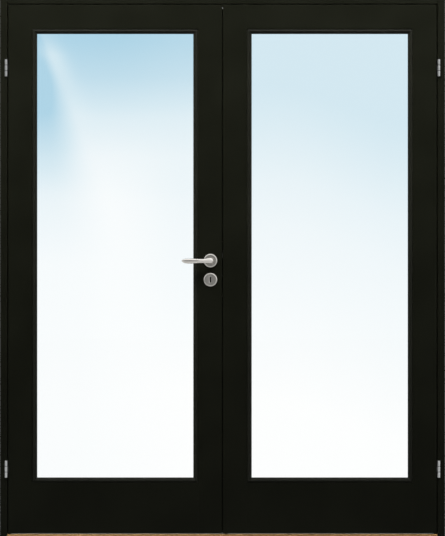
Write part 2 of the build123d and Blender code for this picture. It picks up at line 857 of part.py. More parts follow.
def frame_nodes():
    """The fixed frame with its seals and keeps."""
    return {
        "jamb_left": jamb(left),
        "jamb_right": jamb(right),
        "head": head(),
        "threshold": threshold(),
        "frame_seals": frame_seals(),
        "bolt_keeps": grouped([bolt_keep(rebate_top, 1), bolt_keep(threshold_thickness, -1)]),
    }


def hinge_nodes():
    """The halves of the four hinges."""
    nodes = {}
    for side, hand in ((left, "left"), (right, "right")):
        for height, level in hinge_levels.items():
            nodes[f"{hand}_{height}_hinge_frame_plate"] = hinge_frame_plate(side, level)
            nodes[f"{hand}_{height}_hinge_leaf_plate"] = hinge_leaf_plate(side, level)
    return nodes


def lock_nodes():
    """The lock, the handles and the roses of the active leaf."""
    nodes = {
        "lock_case": lock_case(),
        "lock_cover": lock_cover(),
        "lock_forend": lock_forend(),
        "follower": follower(),
        "latch_bolt": latch_bolt(),
        "latch_spring": latch_spring(),
        "dead_bolt": dead_bolt(),
        "spindle": spindle_bar(),
    }
    for face in outwards:
        nodes[f"{face}_lever"] = lever(face)
    return nodes | {"roses": grouped([make(face) for face in outwards for make in (handle_rose, key_rose)])}


def inactive_fittings():
    """What the inactive leaf carries in its meeting edge and on its back."""
    nodes = {
        "strike_plate": strike_plate(),
        "meeting_stop": meeting_stop(),
        "meeting_seal": meeting_seal(),
    }
    for name in hinge_levels:
        nodes[f"{name}_bolt_plate"] = flush_plate(name)
        nodes[f"{name}_flush_bolt"] = flush_bolt(name)
    return nodes


def main():
    """Build every node and write it to its own file."""
    nodes = frame_nodes() | hinge_nodes() | lock_nodes() | inactive_fittings()
    nodes |= leaf_nodes(left, "active", ("lock_stile", lock_stile()))
    nodes |= leaf_nodes(right, "inactive", ("meeting_stile", meeting_stile()))
    os.makedirs("parts", exist_ok=True)
    for name, shape in nodes.items():
        export_step(shape, f"parts/{name}.step")


main()
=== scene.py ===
"""Looks of a pair of french doors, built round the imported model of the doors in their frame."""
import logging
import math
from dataclasses import dataclass
from enum import Enum
from functools import cache
from typing import Callable, Sequence

import bmesh
import bpy
import numpy as np
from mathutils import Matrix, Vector


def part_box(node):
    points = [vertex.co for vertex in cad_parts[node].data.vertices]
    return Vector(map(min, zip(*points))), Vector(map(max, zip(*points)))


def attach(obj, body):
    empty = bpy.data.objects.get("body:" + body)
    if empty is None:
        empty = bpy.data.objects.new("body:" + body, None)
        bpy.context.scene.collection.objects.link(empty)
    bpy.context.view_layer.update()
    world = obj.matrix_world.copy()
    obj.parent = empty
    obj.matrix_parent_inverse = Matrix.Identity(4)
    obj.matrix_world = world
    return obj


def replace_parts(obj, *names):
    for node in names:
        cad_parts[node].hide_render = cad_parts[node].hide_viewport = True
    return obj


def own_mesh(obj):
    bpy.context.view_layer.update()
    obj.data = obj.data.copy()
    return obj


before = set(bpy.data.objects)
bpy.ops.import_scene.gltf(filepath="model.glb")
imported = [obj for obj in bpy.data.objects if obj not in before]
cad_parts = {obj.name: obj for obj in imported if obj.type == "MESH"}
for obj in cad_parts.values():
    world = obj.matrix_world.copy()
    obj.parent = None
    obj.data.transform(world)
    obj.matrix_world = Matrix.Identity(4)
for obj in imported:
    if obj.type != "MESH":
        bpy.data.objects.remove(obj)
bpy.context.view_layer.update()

log = logging.getLogger("french_doors")

MM = 0.001
MERGE_REACH = 2e-6
SHARP_ANGLE = math.radians(38)

Array = np.ndarray
Pair = tuple[float, float]
Triple = tuple[float, float, float]
Stops = Sequence[tuple[float, object]]
Inputs = dict[str | int, object]
Tree = bpy.types.NodeTree
Node = bpy.types.Node
Socket = bpy.types.NodeSocket
Sockets = bpy.types.bpy_prop_collection
Material = bpy.types.Material


class Face(Enum):
    """The two faces of a leaf, each with the level of its surface and the way that it looks, along Y."""

    FRONT = (-46.0, -1.0)
    BACK = (-6.0, 1.0)

    @property
    def level(self) -> float:
        """Where the surface is along the depth, in millimetres."""
        return self.value[0]

    @property
    def outward(self) -> float:
        """The sign of the direction out of the leaf along the depth."""
        return self.value[1]


class Along(Enum):
    """The way that a grain or a brushing runs, as features per metre along X, Y and Z."""

    WIDTH = (14.0, 900.0, 900.0)
    HEIGHT = (900.0, 900.0, 14.0)
    EVEN = (420.0, 420.0, 420.0)
    SPECKS = (1400.0, 1400.0, 1400.0)
    RINGS = (2600.0, 2600.0, 2600.0)


# Surfaces


@dataclass(frozen=True)
class Patch:
    """A surface given by a grid of points in millimetres, rows by columns by three."""

    points: Array
    ring: bool = True

    def quads(self, first: int) -> Array:
        """The corners of the quads between neighbouring points.

        Args:
            first: The number of the patch's first point in its mesh.

        Returns:
            Four point numbers for each quad.
        """
        rows, columns, _ = self.points.shape
        index = np.arange(rows * columns).reshape(rows, columns)
        if self.ring:
            index = np.hstack([index, index[:, :1]])
        corners = [index[:-1, :-1], index[:-1, 1:], index[1:, 1:], index[1:, :-1]]
        return first + np.stack(corners, -1).reshape(-1, 4)


def turn_angles(count: int) -> Array:
    """Evenly spread angles once round."""
    return np.arange(count) * 2 * np.pi / count


def part_way(value: Array, start: float, end: float) -> Array:
    """How far a value is on the way from start to end, held between 0 and 1."""
    return np.clip((value - start) / (end - start), 0, 1)


def oval(way: Array, power: float) -> Array:
    """The fall from 1 to 0 along a quarter of an oval: the root of one less the way to a power."""
    return (1 - way**power) ** 0.5


def directions(axis: Triple) -> tuple[Array, Array, Array]:
    """Three directions that stand square to each other.

    The second one is the cross product of the axis with Z, or with X where the axis is upright; the
    third one is the cross product of the first two.

    Args:
        axis: The first direction, of length one.

    Returns:
        The axis and two directions square to it, all of length one.
    """
    along = np.asarray(axis, float)
    upright = abs(along[2]) >= 0.5
    across = np.cross(along, (1.0, 0.0, 0.0) if upright else (0.0, 0.0, 1.0))
    across /= np.linalg.norm(across)
    return along, across, np.cross(along, across)


def capped(rows: Array) -> Patch:
    """Rows of points as a surface that one more point in the middle of each end row closes."""
    ends = np.repeat(rows[[0, -1]].mean(1, keepdims=True), rows.shape[1], axis=1)
    return Patch(np.concatenate([ends[:1], rows, ends[1:]]))


def eased(corners: Sequence[Pair], reach: float, steps: int = 4, most: float = 0.48) -> Array:
    """A profile whose corners are rounded.

    Each inner corner gives way to the parabola that touches both of its sides at the same distance:
    start times (1-t) squared, plus corner times 2t(1-t), plus end times t squared.

    Args:
        corners: The corners of the profile, in order.
        reach: How far from a corner its rounding starts, in millimetres.
        steps: How many parts a rounding has.
        most: The largest share of a side that one rounding takes.

    Returns:
        The points of the rounded profile, one a row.
    """
    line = np.asarray(corners, float)
    before, corner, after = line[:-2], line[1:-1], line[2:]
    back, ahead = before - corner, after - corner
    back_length = np.linalg.norm(back, axis=1, keepdims=True)
    ahead_length = np.linalg.norm(ahead, axis=1, keepdims=True)
    start = corner + back / back_length * np.minimum(reach, back_length * most)
    end = corner + ahead / ahead_length * np.minimum(reach, ahead_length * most)
    t = np.linspace(0, 1, steps + 1)[None, :, None]
    bends = start[:, None] * (1 - t) ** 2 + corner[:, None] * 2 * t * (1 - t) + end[:, None] * t**2
    return np.vstack([line[:1], bends.reshape(-1, 2), line[-1:]])


def turned(profile: Array, centre: Triple, axis: Triple, segments: int = 40) -> Patch:
    """A profile turned round an axis.

    Each point is the centre, plus its height along the axis, plus its radius times the cosine of the
    angle along one cross direction and the sine along the other.

    Args:
        profile: Radius and height of each point, from one end of the surface to the other.
        centre: Where the axis starts, in millimetres.
        axis: The direction of the axis, of length one.
        segments: How many columns go round.

    Returns:
        The turned surface.
    """
    along, across, third = directions(axis)
    angle = turn_angles(segments)
    around = np.cos(angle)[:, None] * across + np.sin(angle)[:, None] * third
    radius, height = profile[:, 0, None, None], profile[:, 1, None, None]
    return Patch(np.asarray(centre, float) + height * along + radius * around[None])


def soft_block(xs: Sequence[float], ys: Sequence[float], zs: Sequence[float], radius: float = 0.35) -> Patch:
    """A block with rounded edges and corners.

    Each point is the corner of an inner block on the side that a direction looks to, plus the edge
    radius along that direction; the directions run over a sphere by two angles, and an angle at
    which the side changes comes twice, which leaves the flat faces.

    Args:
        xs: The two ends along X, in millimetres and in any order.
        ys: The two ends along Y.
        zs: The two ends along Z.
        radius: The radius of the edges.

    Returns:
        The block's surface.
    """
    ends = np.sort(np.array([xs, ys, zs], float), axis=1)
    middle, half = ends.mean(1), (ends[:, 1] - ends[:, 0]) / 2 - radius
    steps = 4
    quarter = np.linspace(0, np.pi / 2, steps)
    turn = (quarter[None] + np.arange(4)[:, None] * np.pi / 2).ravel()[None]
    rise = np.hstack([quarter - np.pi / 2, quarter])[:, None]
    side_x = np.repeat([1.0, -1.0, -1.0, 1.0], steps)[None]
    side_y = np.repeat([1.0, 1.0, -1.0, -1.0], steps)[None]
    side_z = np.repeat([-1.0, 1.0], steps)[:, None]
    level = np.cos(rise)
    sphere = np.broadcast_arrays(level * np.cos(turn), level * np.sin(turn), np.sin(rise))
    signs = np.broadcast_arrays(side_x, side_y, side_z)
    return capped(middle + np.stack(signs, -1) * half + np.stack(sphere, -1) * radius)


# Node sheets and shared groups


class Sheet:
    """The node sheet of a material, a group or the world, which places and links nodes."""

    def __init__(self, tree: Tree) -> None:
        """Takes an empty tree."""
        self.tree = tree

    def feed(self, node: Node, inputs: Inputs) -> None:
        """Fills a node's inputs.

        Args:
            node: The node.
            inputs: What goes into its inputs, by name or number: a socket is linked, a value is set.
        """
        for key, value in inputs.items():
            if isinstance(value, Socket):
                self.tree.links.new(value, node.inputs[key])
            else:
                node.inputs[key].default_value = value

    def add(self, kind: str, inputs: Inputs | None = None, **settings: object) -> Node:
        """Places a node.

        Args:
            kind: The node's type, without the words that all shader nodes start with.
            inputs: What goes into its inputs.
            **settings: The node's own settings.

        Returns:
            The node.
        """
        node = self.tree.nodes.new(kind if kind.startswith("Node") else "ShaderNode" + kind)
        for key, value in settings.items():
            setattr(node, key, value)
        self.feed(node, inputs or {})
        return node

    def math(self, operation: str, *values: object) -> Socket:
        """One step of arithmetic on sockets or numbers."""
        return self.add("Math", dict(enumerate(values)), operation=operation).outputs[0]

    def vector(self, operation: str, *values: object) -> Socket:
        """One step of arithmetic on vectors; a length and a scalar product come as a number."""
        node = self.add("VectorMath", dict(enumerate(values)), operation=operation)
        return node.outputs["Value" if operation in ("LENGTH", "DOT_PRODUCT") else "Vector"]

    def parts(self, vector: Socket) -> Sockets:
        """The X, Y and Z of a vector."""
        return self.add("SeparateXYZ", {0: vector}).outputs

    def noise(self, point: Socket, scale: float, detail: float, roughness: float = 0.5) -> Socket:
        """Noise between 0 and 1 with so many features per metre."""
        inputs = {"Vector": point, "Scale": scale, "Detail": detail, "Roughness": roughness}
        return self.add("TexNoise", inputs).outputs[0]

    def spread(
        self, value: object, low: float, high: float, to_low: float = 0.0, to_high: float = 1.0
    ) -> Socket:
        """Maps the range from low to high smoothly on another range, and holds it at both ends."""
        inputs = {"Value": value, "From Min": low, "From Max": high, "To Min": to_low, "To Max": to_high}
        return self.add("MapRange", inputs, interpolation_type="SMOOTHSTEP").outputs[0]

    def varied(self, share: Socket, value: float, less: float, more: float) -> Socket:
        """A value that goes from a little less to a little more of itself with a share."""
        return self.spread(share, 0.0, 1.0, value - less, value + more)

    def ramp(self, value: object, stops: Stops) -> Socket:
        """A ramp of colours or of greys.

        Args:
            value: The place on the ramp, from 0 to 1.
            stops: The place of each stop with its colour, or with a single number for a grey.

        Returns:
            The ramp's colour.
        """
        node = self.add("ValToRGB", {0: value})
        elements = node.color_ramp.elements
        for number, (place, colour) in enumerate(stops):
            stop = elements[number] if number < 2 else elements.new(place)
            stop.position = place
            stop.color = (*([colour] * 3 if isinstance(colour, float) else colour), 1.0)
        return node.outputs[0]

    def mix(self, share: object, a: object, b: object) -> Socket:
        """The colour between a and b at a share."""
        ends = {key: end if isinstance(end, Socket) else (*end, 1.0) for key, end in ((6, a), (7, b))}
        return self.add("Mix", {0: share} | ends, data_type="RGBA").outputs[2]

    def blend(self, share: Socket, a: Node, b: Node) -> Socket:
        """The shader between those of two nodes at a share."""
        return self.add("MixShader", {0: share, 1: a.outputs[0], 2: b.outputs[0]}).outputs[0]

    def bump(self, height: Socket, strength: float, distance: float, normal: Socket | None = None) -> Socket:
        """The normal of a surface that a height raises by up to a distance in metres."""
        inputs = {"Height": height, "Strength": strength, "Distance": distance}
        return self.add("Bump", inputs | ({"Normal": normal} if normal else {})).outputs[0]

    def place(self) -> Socket:
        """The point on the surface in the row frame, in metres."""
        return self.add("TexCoord").outputs["Object"]

    def group(self, tree: Tree, inputs: Inputs) -> Sockets:
        """Places a shared group and gives its outputs."""
        return self.add("Group", inputs, node_tree=tree).outputs

    def mirrored(self, path: Sockets) -> Socket:
        """One for a ray that a surface throws back, nought for one that comes through glass."""
        gap = self.math("SUBTRACT", path["Is Glossy Ray"], path["Is Transmission Ray"])
        return self.math("MAXIMUM", gap, 0.0)

    def looked_at(self, path: Sockets) -> Socket:
        """One for a ray from the camera, also where it comes through glass."""
        return self.math("MAXIMUM", path["Is Camera Ray"], path["Is Transmission Ray"])


Shader = Callable[[Sheet], Socket]


def tone(red: int, green: int, blue: int) -> Triple:
    """A colour as a screen shows it, as the light that it stands for.

    Args:
        red: The red level from 0 to 255.
        green: The green level.
        blue: The blue level.

    Returns:
        The share of light in red, green and blue.
    """
    share = np.array([red, green, blue]) / 255
    light = np.where(share <= 0.04045, share / 12.92, ((share + 0.055) / 1.055) ** 2.4)
    return tuple(float(part) for part in light)


def shaded(colour: Triple, share: float, lift: float = 0.0) -> Triple:
    """A colour times a share, with some light added, up to white."""
    return tuple(min(1.0, part * share + lift) for part in colour)


def new_group(name: str, inputs: dict[str, str], outputs: dict[str, str]) -> tuple[Sheet, Sockets, Node]:
    """Starts a shared group.

    Args:
        name: The group's name.
        inputs: The kind of each named input: Float, Vector or Color.
        outputs: The kind of each named output.

    Returns:
        The group's sheet, the sockets of its inputs and the node that takes its outputs.
    """
    tree = bpy.data.node_groups.new(name, "ShaderNodeTree")
    for direction, sockets in (("INPUT", inputs), ("OUTPUT", outputs)):
        for socket, kind in sockets.items():
            tree.interface.new_socket(socket, in_out=direction, socket_type="NodeSocket" + kind)
    sheet = Sheet(tree)
    return sheet, sheet.add("NodeGroupInput").outputs, sheet.add("NodeGroupOutput")


@cache
def streaks_group() -> Tree:
    """Fine streaks: noise with its own number of features per metre along each axis, and broad patches.

    Returns:
        The group, which takes a point and its features per metre, and gives a height and patches.
    """
    sheet, given, result = new_group(
        "streaks", {"Point": "Vector", "Per metre": "Vector"}, {"Height": "Float", "Patches": "Float"}
    )
    stretched = sheet.vector("MULTIPLY", given["Point"], given["Per metre"])
    broad = sheet.noise(given["Point"], scale=7.0, detail=3.0)
    sheet.feed(result, {
        "Height": sheet.noise(stretched, scale=1.0, detail=2.0),
        "Patches": sheet.spread(broad, low=0.3, high=0.7),
    })
    return sheet.tree


@cache
def edges_group() -> Tree:
    """Edges: the normal as if edges were rounded by a radius, and how near to an edge a point is.

    Returns:
        The group, which takes the radius and gives the normal and a mask of the edges.
    """
    sheet, given, result = new_group("edges", {"Radius": "Float"}, {"Normal": "Vector", "Edge": "Float"})
    rounded = sheet.add("Bevel", {"Radius": given["Radius"]}, samples=6).outputs[0]
    same = sheet.vector("DOT_PRODUCT", rounded, sheet.add("NewGeometry").outputs["Normal"])
    sheet.feed(result, {"Normal": rounded, "Edge": sheet.spread(same, low=0.995, high=0.85)})
    return sheet.tree


@cache
def dust_group() -> Tree:
    """Dust: lies on what looks up, thicker in some places than in others.

    Returns:
        The group, which takes a point and the amount of dust, and gives a mask of the dust.
    """
    sheet, given, result = new_group("dust", {"Point": "Vector", "Amount": "Float"}, {"Mask": "Float"})
    up = sheet.parts(sheet.add("NewGeometry").outputs["Normal"])["Z"]
    clouds = sheet.noise(given["Point"], scale=60.0, detail=4.0)
    upward = sheet.spread(up, low=0.55, high=1.0)
    thick = sheet.spread(clouds, low=0.3, high=0.75, to_low=0.35)
    lying = sheet.math("MULTIPLY", upward, thick)
    sheet.feed(result, {"Mask": sheet.math("MULTIPLY", lying, given["Amount"])})
    return sheet.tree


@cache
def timber_group() -> Tree:
    """Timber: the year rings of a sawn board as long wavy bands along X, with pores between them.

    Returns:
        The group, which takes a point and gives the rings, the pores and broad shades of a board.
    """
    sheet, given, result = new_group(
        "timber", {"Point": "Vector"}, {"Rings": "Float", "Pores": "Float", "Board": "Float"}
    )
    waves = (0.0, 0.05, 0.03)
    rings_per_metre = (1.1, 70.0, 70.0)
    pores_per_metre = (24.0, 1500.0, 1500.0)
    drift = sheet.add("TexNoise", {"Vector": given["Point"], "Scale": 1.6, "Detail": 2.0}).outputs["Color"]
    bent = sheet.vector("MULTIPLY", sheet.vector("SUBTRACT", drift, (0.5, 0.5, 0.5)), waves)
    point = sheet.vector("ADD", given["Point"], bent)
    along_rings = sheet.vector("MULTIPLY", point, rings_per_metre)
    along_pores = sheet.vector("MULTIPLY", point, pores_per_metre)
    rings = sheet.noise(along_rings, scale=1.0, detail=4.0, roughness=0.62)
    pores = sheet.noise(along_pores, scale=1.0, detail=1.0)
    sheet.feed(result, {
        "Rings": sheet.spread(rings, low=0.32, high=0.68),
        "Pores": sheet.spread(pores, low=0.56, high=0.72),
        "Board": sheet.noise(given["Point"], scale=2.2, detail=1.0),
    })
    return sheet.tree


# Finishes


def new_material(name: str, shader: Shader) -> Material:
    """Builds a material.

    Args:
        name: The material's name.
        shader: The function that lays nodes on the material's empty sheet and gives their shader.

    Returns:
        The material.
    """
    material = bpy.data.materials.new(name)
    material.use_nodes = True
    material.node_tree.nodes.clear()
    sheet = Sheet(material.node_tree)
    sheet.add("OutputMaterial", {0: shader(sheet)})
    return material


@dataclass(frozen=True)
class Finish:
    """What a surface is made of, with the name of its material."""

    name: str

    def shader(self, sheet: Sheet) -> Socket:
        """Lays the finish's nodes and gives their shader."""
        raise NotImplementedError

    @cache
    def material(self) -> Material:
        """The finish's material, built once."""
        return new_material(self.name, self.shader)


@dataclass(frozen=True)
class Paint(Finish):
    """Satin paint on timber: brush marks along the piece, edges made lighter, partly as paint rubbed thin and
    partly as painted highlight, and a little dust.
    """

    colour: Triple
    along: Along
    roughness: float = 0.36
    shine: float = 0.045
    deep: float = 0.92
    pale: float = 1.08
    brush_depth: float = 0.00012
    brush_strength: float = 0.35
    edge_radius: float = 0.0011
    wear_and_highlight: float = 0.5
    worn_and_highlit_gain: float = 2.4
    worn_and_highlit_lift: float = 0.006
    dust: float = 0.07
    dust_tone: Triple = tone(120, 116, 106)

    def shader(self, sheet: Sheet) -> Socket:
        """Lays brush marks, then lighter edges, partly rubbed paint and partly painted highlight, then dust.

        Args:
            sheet: The material's sheet.

        Returns:
            The paint's shader.
        """
        point = sheet.place()
        marks = sheet.group(streaks_group(), {"Point": point, "Per metre": self.along.value})
        edges = sheet.group(edges_group(), {"Radius": self.edge_radius})
        dust = sheet.group(dust_group(), {"Point": point, "Amount": self.dust})
        colour = sheet.mix(marks["Patches"], shaded(self.colour, self.deep), shaded(self.colour, self.pale))
        # Lighter edges: partly paint rubbed thin, partly painted highlight along the arris.
        worn_and_highlit = shaded(self.colour, self.worn_and_highlit_gain, self.worn_and_highlit_lift)
        colour = sheet.mix(sheet.math("MULTIPLY", edges["Edge"], self.wear_and_highlight), colour, worn_and_highlit)
        return sheet.add("BsdfPrincipled", {
            "Base Color": sheet.mix(dust["Mask"], colour, self.dust_tone),
            "Roughness": sheet.varied(marks["Patches"], self.roughness, less=0.04, more=0.06),
            "Normal": sheet.bump(marks["Height"], self.brush_strength, self.brush_depth, edges["Normal"]),
            "Specular IOR Level": self.shine,
        }).outputs[0]


@dataclass(frozen=True)
class Oak(Finish):
    """Oak with a clear satin lacquer, its grain along the board."""

    early: Triple
    late: Triple
    pore: Triple
    roughness: float = 0.42
    shine: float = 0.25
    board_share: float = 0.3
    pore_share: float = 0.55
    highlight_share: float = 0.25
    ring_height: float = 0.4
    grain_depth: float = 0.00015
    grain_strength: float = 0.4
    edge_radius: float = 0.0006
    dust: float = 0.04
    dust_tone: Triple = tone(190, 184, 172)

    def shader(self, sheet: Sheet) -> Socket:
        """Lays year rings, darker boards, pores, edges paled as painted highlight, and dust over each other.

        Args:
            sheet: The material's sheet.

        Returns:
            The oak's shader.
        """
        point = sheet.place()
        timber = sheet.group(timber_group(), {"Point": point})
        edges = sheet.group(edges_group(), {"Radius": self.edge_radius})
        dust = sheet.group(dust_group(), {"Point": point, "Amount": self.dust})
        colour = sheet.mix(timber["Rings"], self.early, self.late)
        board = sheet.spread(timber["Board"], low=0.3, high=0.7, to_high=self.board_share)
        colour = sheet.mix(board, colour, self.late)
        colour = sheet.mix(sheet.math("MULTIPLY", timber["Pores"], self.pore_share), colour, self.pore)
        # Painted highlight: the edges are paled towards the early wood's colour.
        colour = sheet.mix(sheet.math("MULTIPLY", edges["Edge"], self.highlight_share), colour, self.early)
        raised = sheet.math("MULTIPLY", timber["Rings"], self.ring_height)
        height = sheet.math("SUBTRACT", raised, timber["Pores"])
        return sheet.add("BsdfPrincipled", {
            "Base Color": sheet.mix(dust["Mask"], colour, self.dust_tone),
            "Roughness": sheet.varied(timber["Rings"], self.roughness, less=0.05, more=0.08),
            "Normal": sheet.bump(height, self.grain_strength, self.grain_depth, edges["Normal"]),
            "Specular IOR Level": self.shine,
        }).outputs[0]


@dataclass(frozen=True)
class Metal(Finish):
    """Satin metal, brushed along an axis or in rings round a centre in the XZ plane."""

    colour: Triple
    roughness: float
    along: Along = Along.EVEN
    rings_at: Pair | None = None
    ring_skew: float = 0.31
    edge_radius: float = 0.0004
    highlight_share: float = 0.6
    highlight_gain: float = 1.12
    dark: float = 0.86
    brush_depth: float = 0.00003
    brush_strength: float = 0.4

    def shader(self, sheet: Sheet) -> Socket:
        """Lays the brushing, with painted shade in its valleys, and painted highlight along the edges.

        Brushing in rings reads the distance from the rings' centre in place of the point.

        Args:
            sheet: The material's sheet.

        Returns:
            The metal's shader.
        """
        point = sheet.place()
        if self.rings_at:
            x, z = self.rings_at
            inputs = {"Vector": point, "Location": (-x, 0.0, -z), "Scale": (1.0, 0.0, 1.0)}
            radius = sheet.vector("LENGTH", sheet.add("Mapping", inputs).outputs[0])
            skewed = sheet.math("MULTIPLY", radius, self.ring_skew)
            point = sheet.add("CombineXYZ", {"X": radius, "Y": skewed}).outputs[0]
        marks = sheet.group(streaks_group(), {"Point": point, "Per metre": self.along.value})
        edges = sheet.group(edges_group(), {"Radius": self.edge_radius})
        # Painted shade: the brushing's valleys are darker.
        colour = sheet.mix(marks["Height"], shaded(self.colour, self.dark), self.colour)
        # Painted highlight: the edges are brighter.
        edge_highlight = sheet.math("MULTIPLY", edges["Edge"], self.highlight_share)
        return sheet.add("BsdfPrincipled", {
            "Base Color": sheet.mix(edge_highlight, colour, shaded(self.colour, self.highlight_gain)),
            "Metallic": 1.0,
            "Roughness": sheet.varied(marks["Patches"], self.roughness, less=0.03, more=0.05),
            "Normal": sheet.bump(marks["Height"], self.brush_strength, self.brush_depth, edges["Normal"]),
        }).outputs[0]


@dataclass(frozen=True)
class Glass(Finish):
    """Clear float glass, very slightly wavy, that lets lamps shine through."""

    colour: Triple = (0.985, 0.995, 0.99)
    deep: float = 0.99
    index: float = 1.45
    wave_depth: float = 0.00002
    wave_strength: float = 0.3
    wave_stretch: Triple = (3.0, 1.0, 0.6)

    def shader(self, sheet: Sheet) -> Socket:
        """Lays the glass, which is clear to a shadow's rays.

        Args:
            sheet: The material's sheet.

        Returns:
            The glass's shader.
        """
        stretched = sheet.add("Mapping", {"Vector": sheet.place(), "Scale": self.wave_stretch}).outputs[0]
        waves = sheet.noise(stretched, scale=2.0, detail=1.0)
        glass = sheet.add("BsdfPrincipled", {
            "Base Color": sheet.mix(waves, shaded(self.colour, self.deep), self.colour),
            "Roughness": 0.0,
            "IOR": self.index,
            "Transmission Weight": 1.0,
            "Normal": sheet.bump(waves, self.wave_strength, self.wave_depth),
        })
        shadow = sheet.add("LightPath").outputs["Is Shadow Ray"]
        return sheet.blend(shadow, glass, sheet.add("BsdfTransparent"))


@dataclass(frozen=True)
class Soft(Finish):
    """Rubber, foam or dull plastic: finely speckled, without gloss."""

    colour: Triple
    roughness: float = 0.72
    shine: float = 0.35
    speck_depth: float = 0.00008
    speck_strength: float = 0.5
    speck_gain: float = 1.5
    speck_lift: float = 0.004
    edge_radius: float = 0.0006

    def shader(self, sheet: Sheet) -> Socket:
        """Lays the specks.

        Args:
            sheet: The material's sheet.

        Returns:
            The material's shader.
        """
        specks = sheet.group(streaks_group(), {"Point": sheet.place(), "Per metre": Along.SPECKS.value})
        edges = sheet.group(edges_group(), {"Radius": self.edge_radius})
        pale = shaded(self.colour, self.speck_gain, self.speck_lift)
        return sheet.add("BsdfPrincipled", {
            "Base Color": sheet.mix(specks["Height"], self.colour, pale),
            "Roughness": sheet.varied(specks["Patches"], self.roughness, less=0.05, more=0.05),
            "Normal": sheet.bump(specks["Height"], self.speck_strength, self.speck_depth, edges["Normal"]),
            "Specular IOR Level": self.shine,
        }).outputs[0]


LOCK_X = -46.5
LEVER_LEVEL = 1070.0
KEY_ROUND_LEVEL = 1004.0
KEY_RISE = 7.7
KEY_LEVEL = KEY_ROUND_LEVEL - KEY_RISE


def rose_finish(name: str, level: float) -> Metal:
    """Satin nickel brushed in rings round the middle of a rose at a level, with a strong painted highlight
    along its rim.
    """
    centre = (LOCK_X * MM, level * MM)
    return Metal(name, (0.62, 0.597, 0.55), 0.30, Along.RINGS, centre, edge_radius=0.0016, highlight_gain=1.6)


BLACK = (0.0058, 0.0062, 0.0037)
FRAME_UPRIGHT = Paint("black_paint_frame_upright", BLACK, Along.HEIGHT, edge_radius=0.0005, wear_and_highlight=0.2)
FRAME_LEVEL = Paint("black_paint_frame_level", BLACK, Along.WIDTH, edge_radius=0.0005, wear_and_highlight=0.2)
LEAF_UPRIGHT = Paint("black_paint_leaf_upright", BLACK, Along.HEIGHT)
LEAF_LEVEL = Paint("black_paint_leaf_level", BLACK, Along.WIDTH)
# The beads' black is about twice as light as the leaves': painted highlight for the light that the beads'
# sloped faces catch.
BEAD_PAINTED_HIGHLIGHT = Paint("black_paint_bead_painted_highlight", (0.0108, 0.0111, 0.0080), Along.EVEN, roughness=0.33, brush_depth=0.00006)
OAK = Oak("lacquered_oak", tone(199, 157, 102), tone(163, 120, 71), tone(100, 68, 38))
HINGE = Metal("satin_hinge_steel", (0.54, 0.545, 0.54), 0.46, Along.HEIGHT)
# Dark steel for the hinge plates, their straps and the pins; in the pins the darkness is painted shade in the
# gaps between the knuckles.
DARK_HINGE_STEEL = Metal("dark_hinge_steel", (0.035, 0.035, 0.034), 0.5)
PLATE = Metal("brushed_plate_steel", (0.55, 0.545, 0.53), 0.32, Along.HEIGHT)
# The bolts are coloured nearly black: painted shade of the deep gaps that they stand in.
BOLT_PAINTED_SHADE = Metal("bolt_steel", (0.085, 0.083, 0.08), 0.36, Along.WIDTH)
ZINC = Metal("zinc_lock_case", (0.40, 0.41, 0.42), 0.45, brush_depth=0.00006)
# The lock's levers are coloured nearly black: painted shade inside the keyholes.
BRASS_PAINTED_SHADE = Metal("brass_levers_painted_shade", (0.020, 0.014, 0.009), 0.6)
SPRING = Metal("spring_steel", (0.42, 0.42, 0.43), 0.30)
LEVER = Metal("satin_nickel_lever", (0.78, 0.745, 0.70), 0.30, Along.WIDTH, dark=0.92)
HANDLE_ROSE = rose_finish("satin_nickel_handle_rose", LEVER_LEVEL)
KEY_ROSE = rose_finish("satin_nickel_key_rose", KEY_LEVEL)
PANE = Glass("clear_float_glass")
RUBBER = Soft("black_seal_rubber", (0.010, 0.010, 0.010))
FOAM = Soft("black_glazing_strip", (0.013, 0.013, 0.013), roughness=0.85)
BLOCK = Soft("dark_setting_block", (0.05, 0.05, 0.055), roughness=0.5)


# Pieces


def piece_from(
    name: str, patches: Sequence[Patch], finish: Finish, body: str
) -> bpy.types.Object:
    """Makes one object of closed patches, with its place in its mesh, and lets it ride on a body.

    Args:
        name: The object's name.
        patches: The patches, whose poles and seams are closed here.
        finish: What it is made of.
        body: The body that the piece moves with.

    Returns:
        The finished object.
    """
    points = [patch.points.reshape(-1, 3) * MM for patch in patches]
    firsts = np.cumsum([0] + [len(part) for part in points])
    quads = [patch.quads(first) for patch, first in zip(patches, firsts)]
    mesh = bpy.data.meshes.new(name)
    mesh.from_pydata(np.vstack(points).tolist(), [], np.vstack(quads).tolist())
    work = bmesh.new()
    work.from_mesh(mesh)
    bmesh.ops.remove_doubles(work, verts=work.verts, dist=MERGE_REACH)
    bmesh.ops.dissolve_degenerate(work, dist=MERGE_REACH / 2, edges=work.edges)
    bmesh.ops.recalc_face_normals(work, faces=work.faces)
    work.to_mesh(mesh)
    work.free()
    mesh.shade_smooth()
    mesh.set_sharp_from_angle(angle=SHARP_ANGLE)
    mesh.materials.append(finish.material())
    piece = bpy.data.objects.new(name, mesh)
    bpy.context.scene.collection.objects.link(piece)
    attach(piece, body)
    log.info("%s: %d faces, rides on %s", name, len(mesh.polygons), body)
    return piece


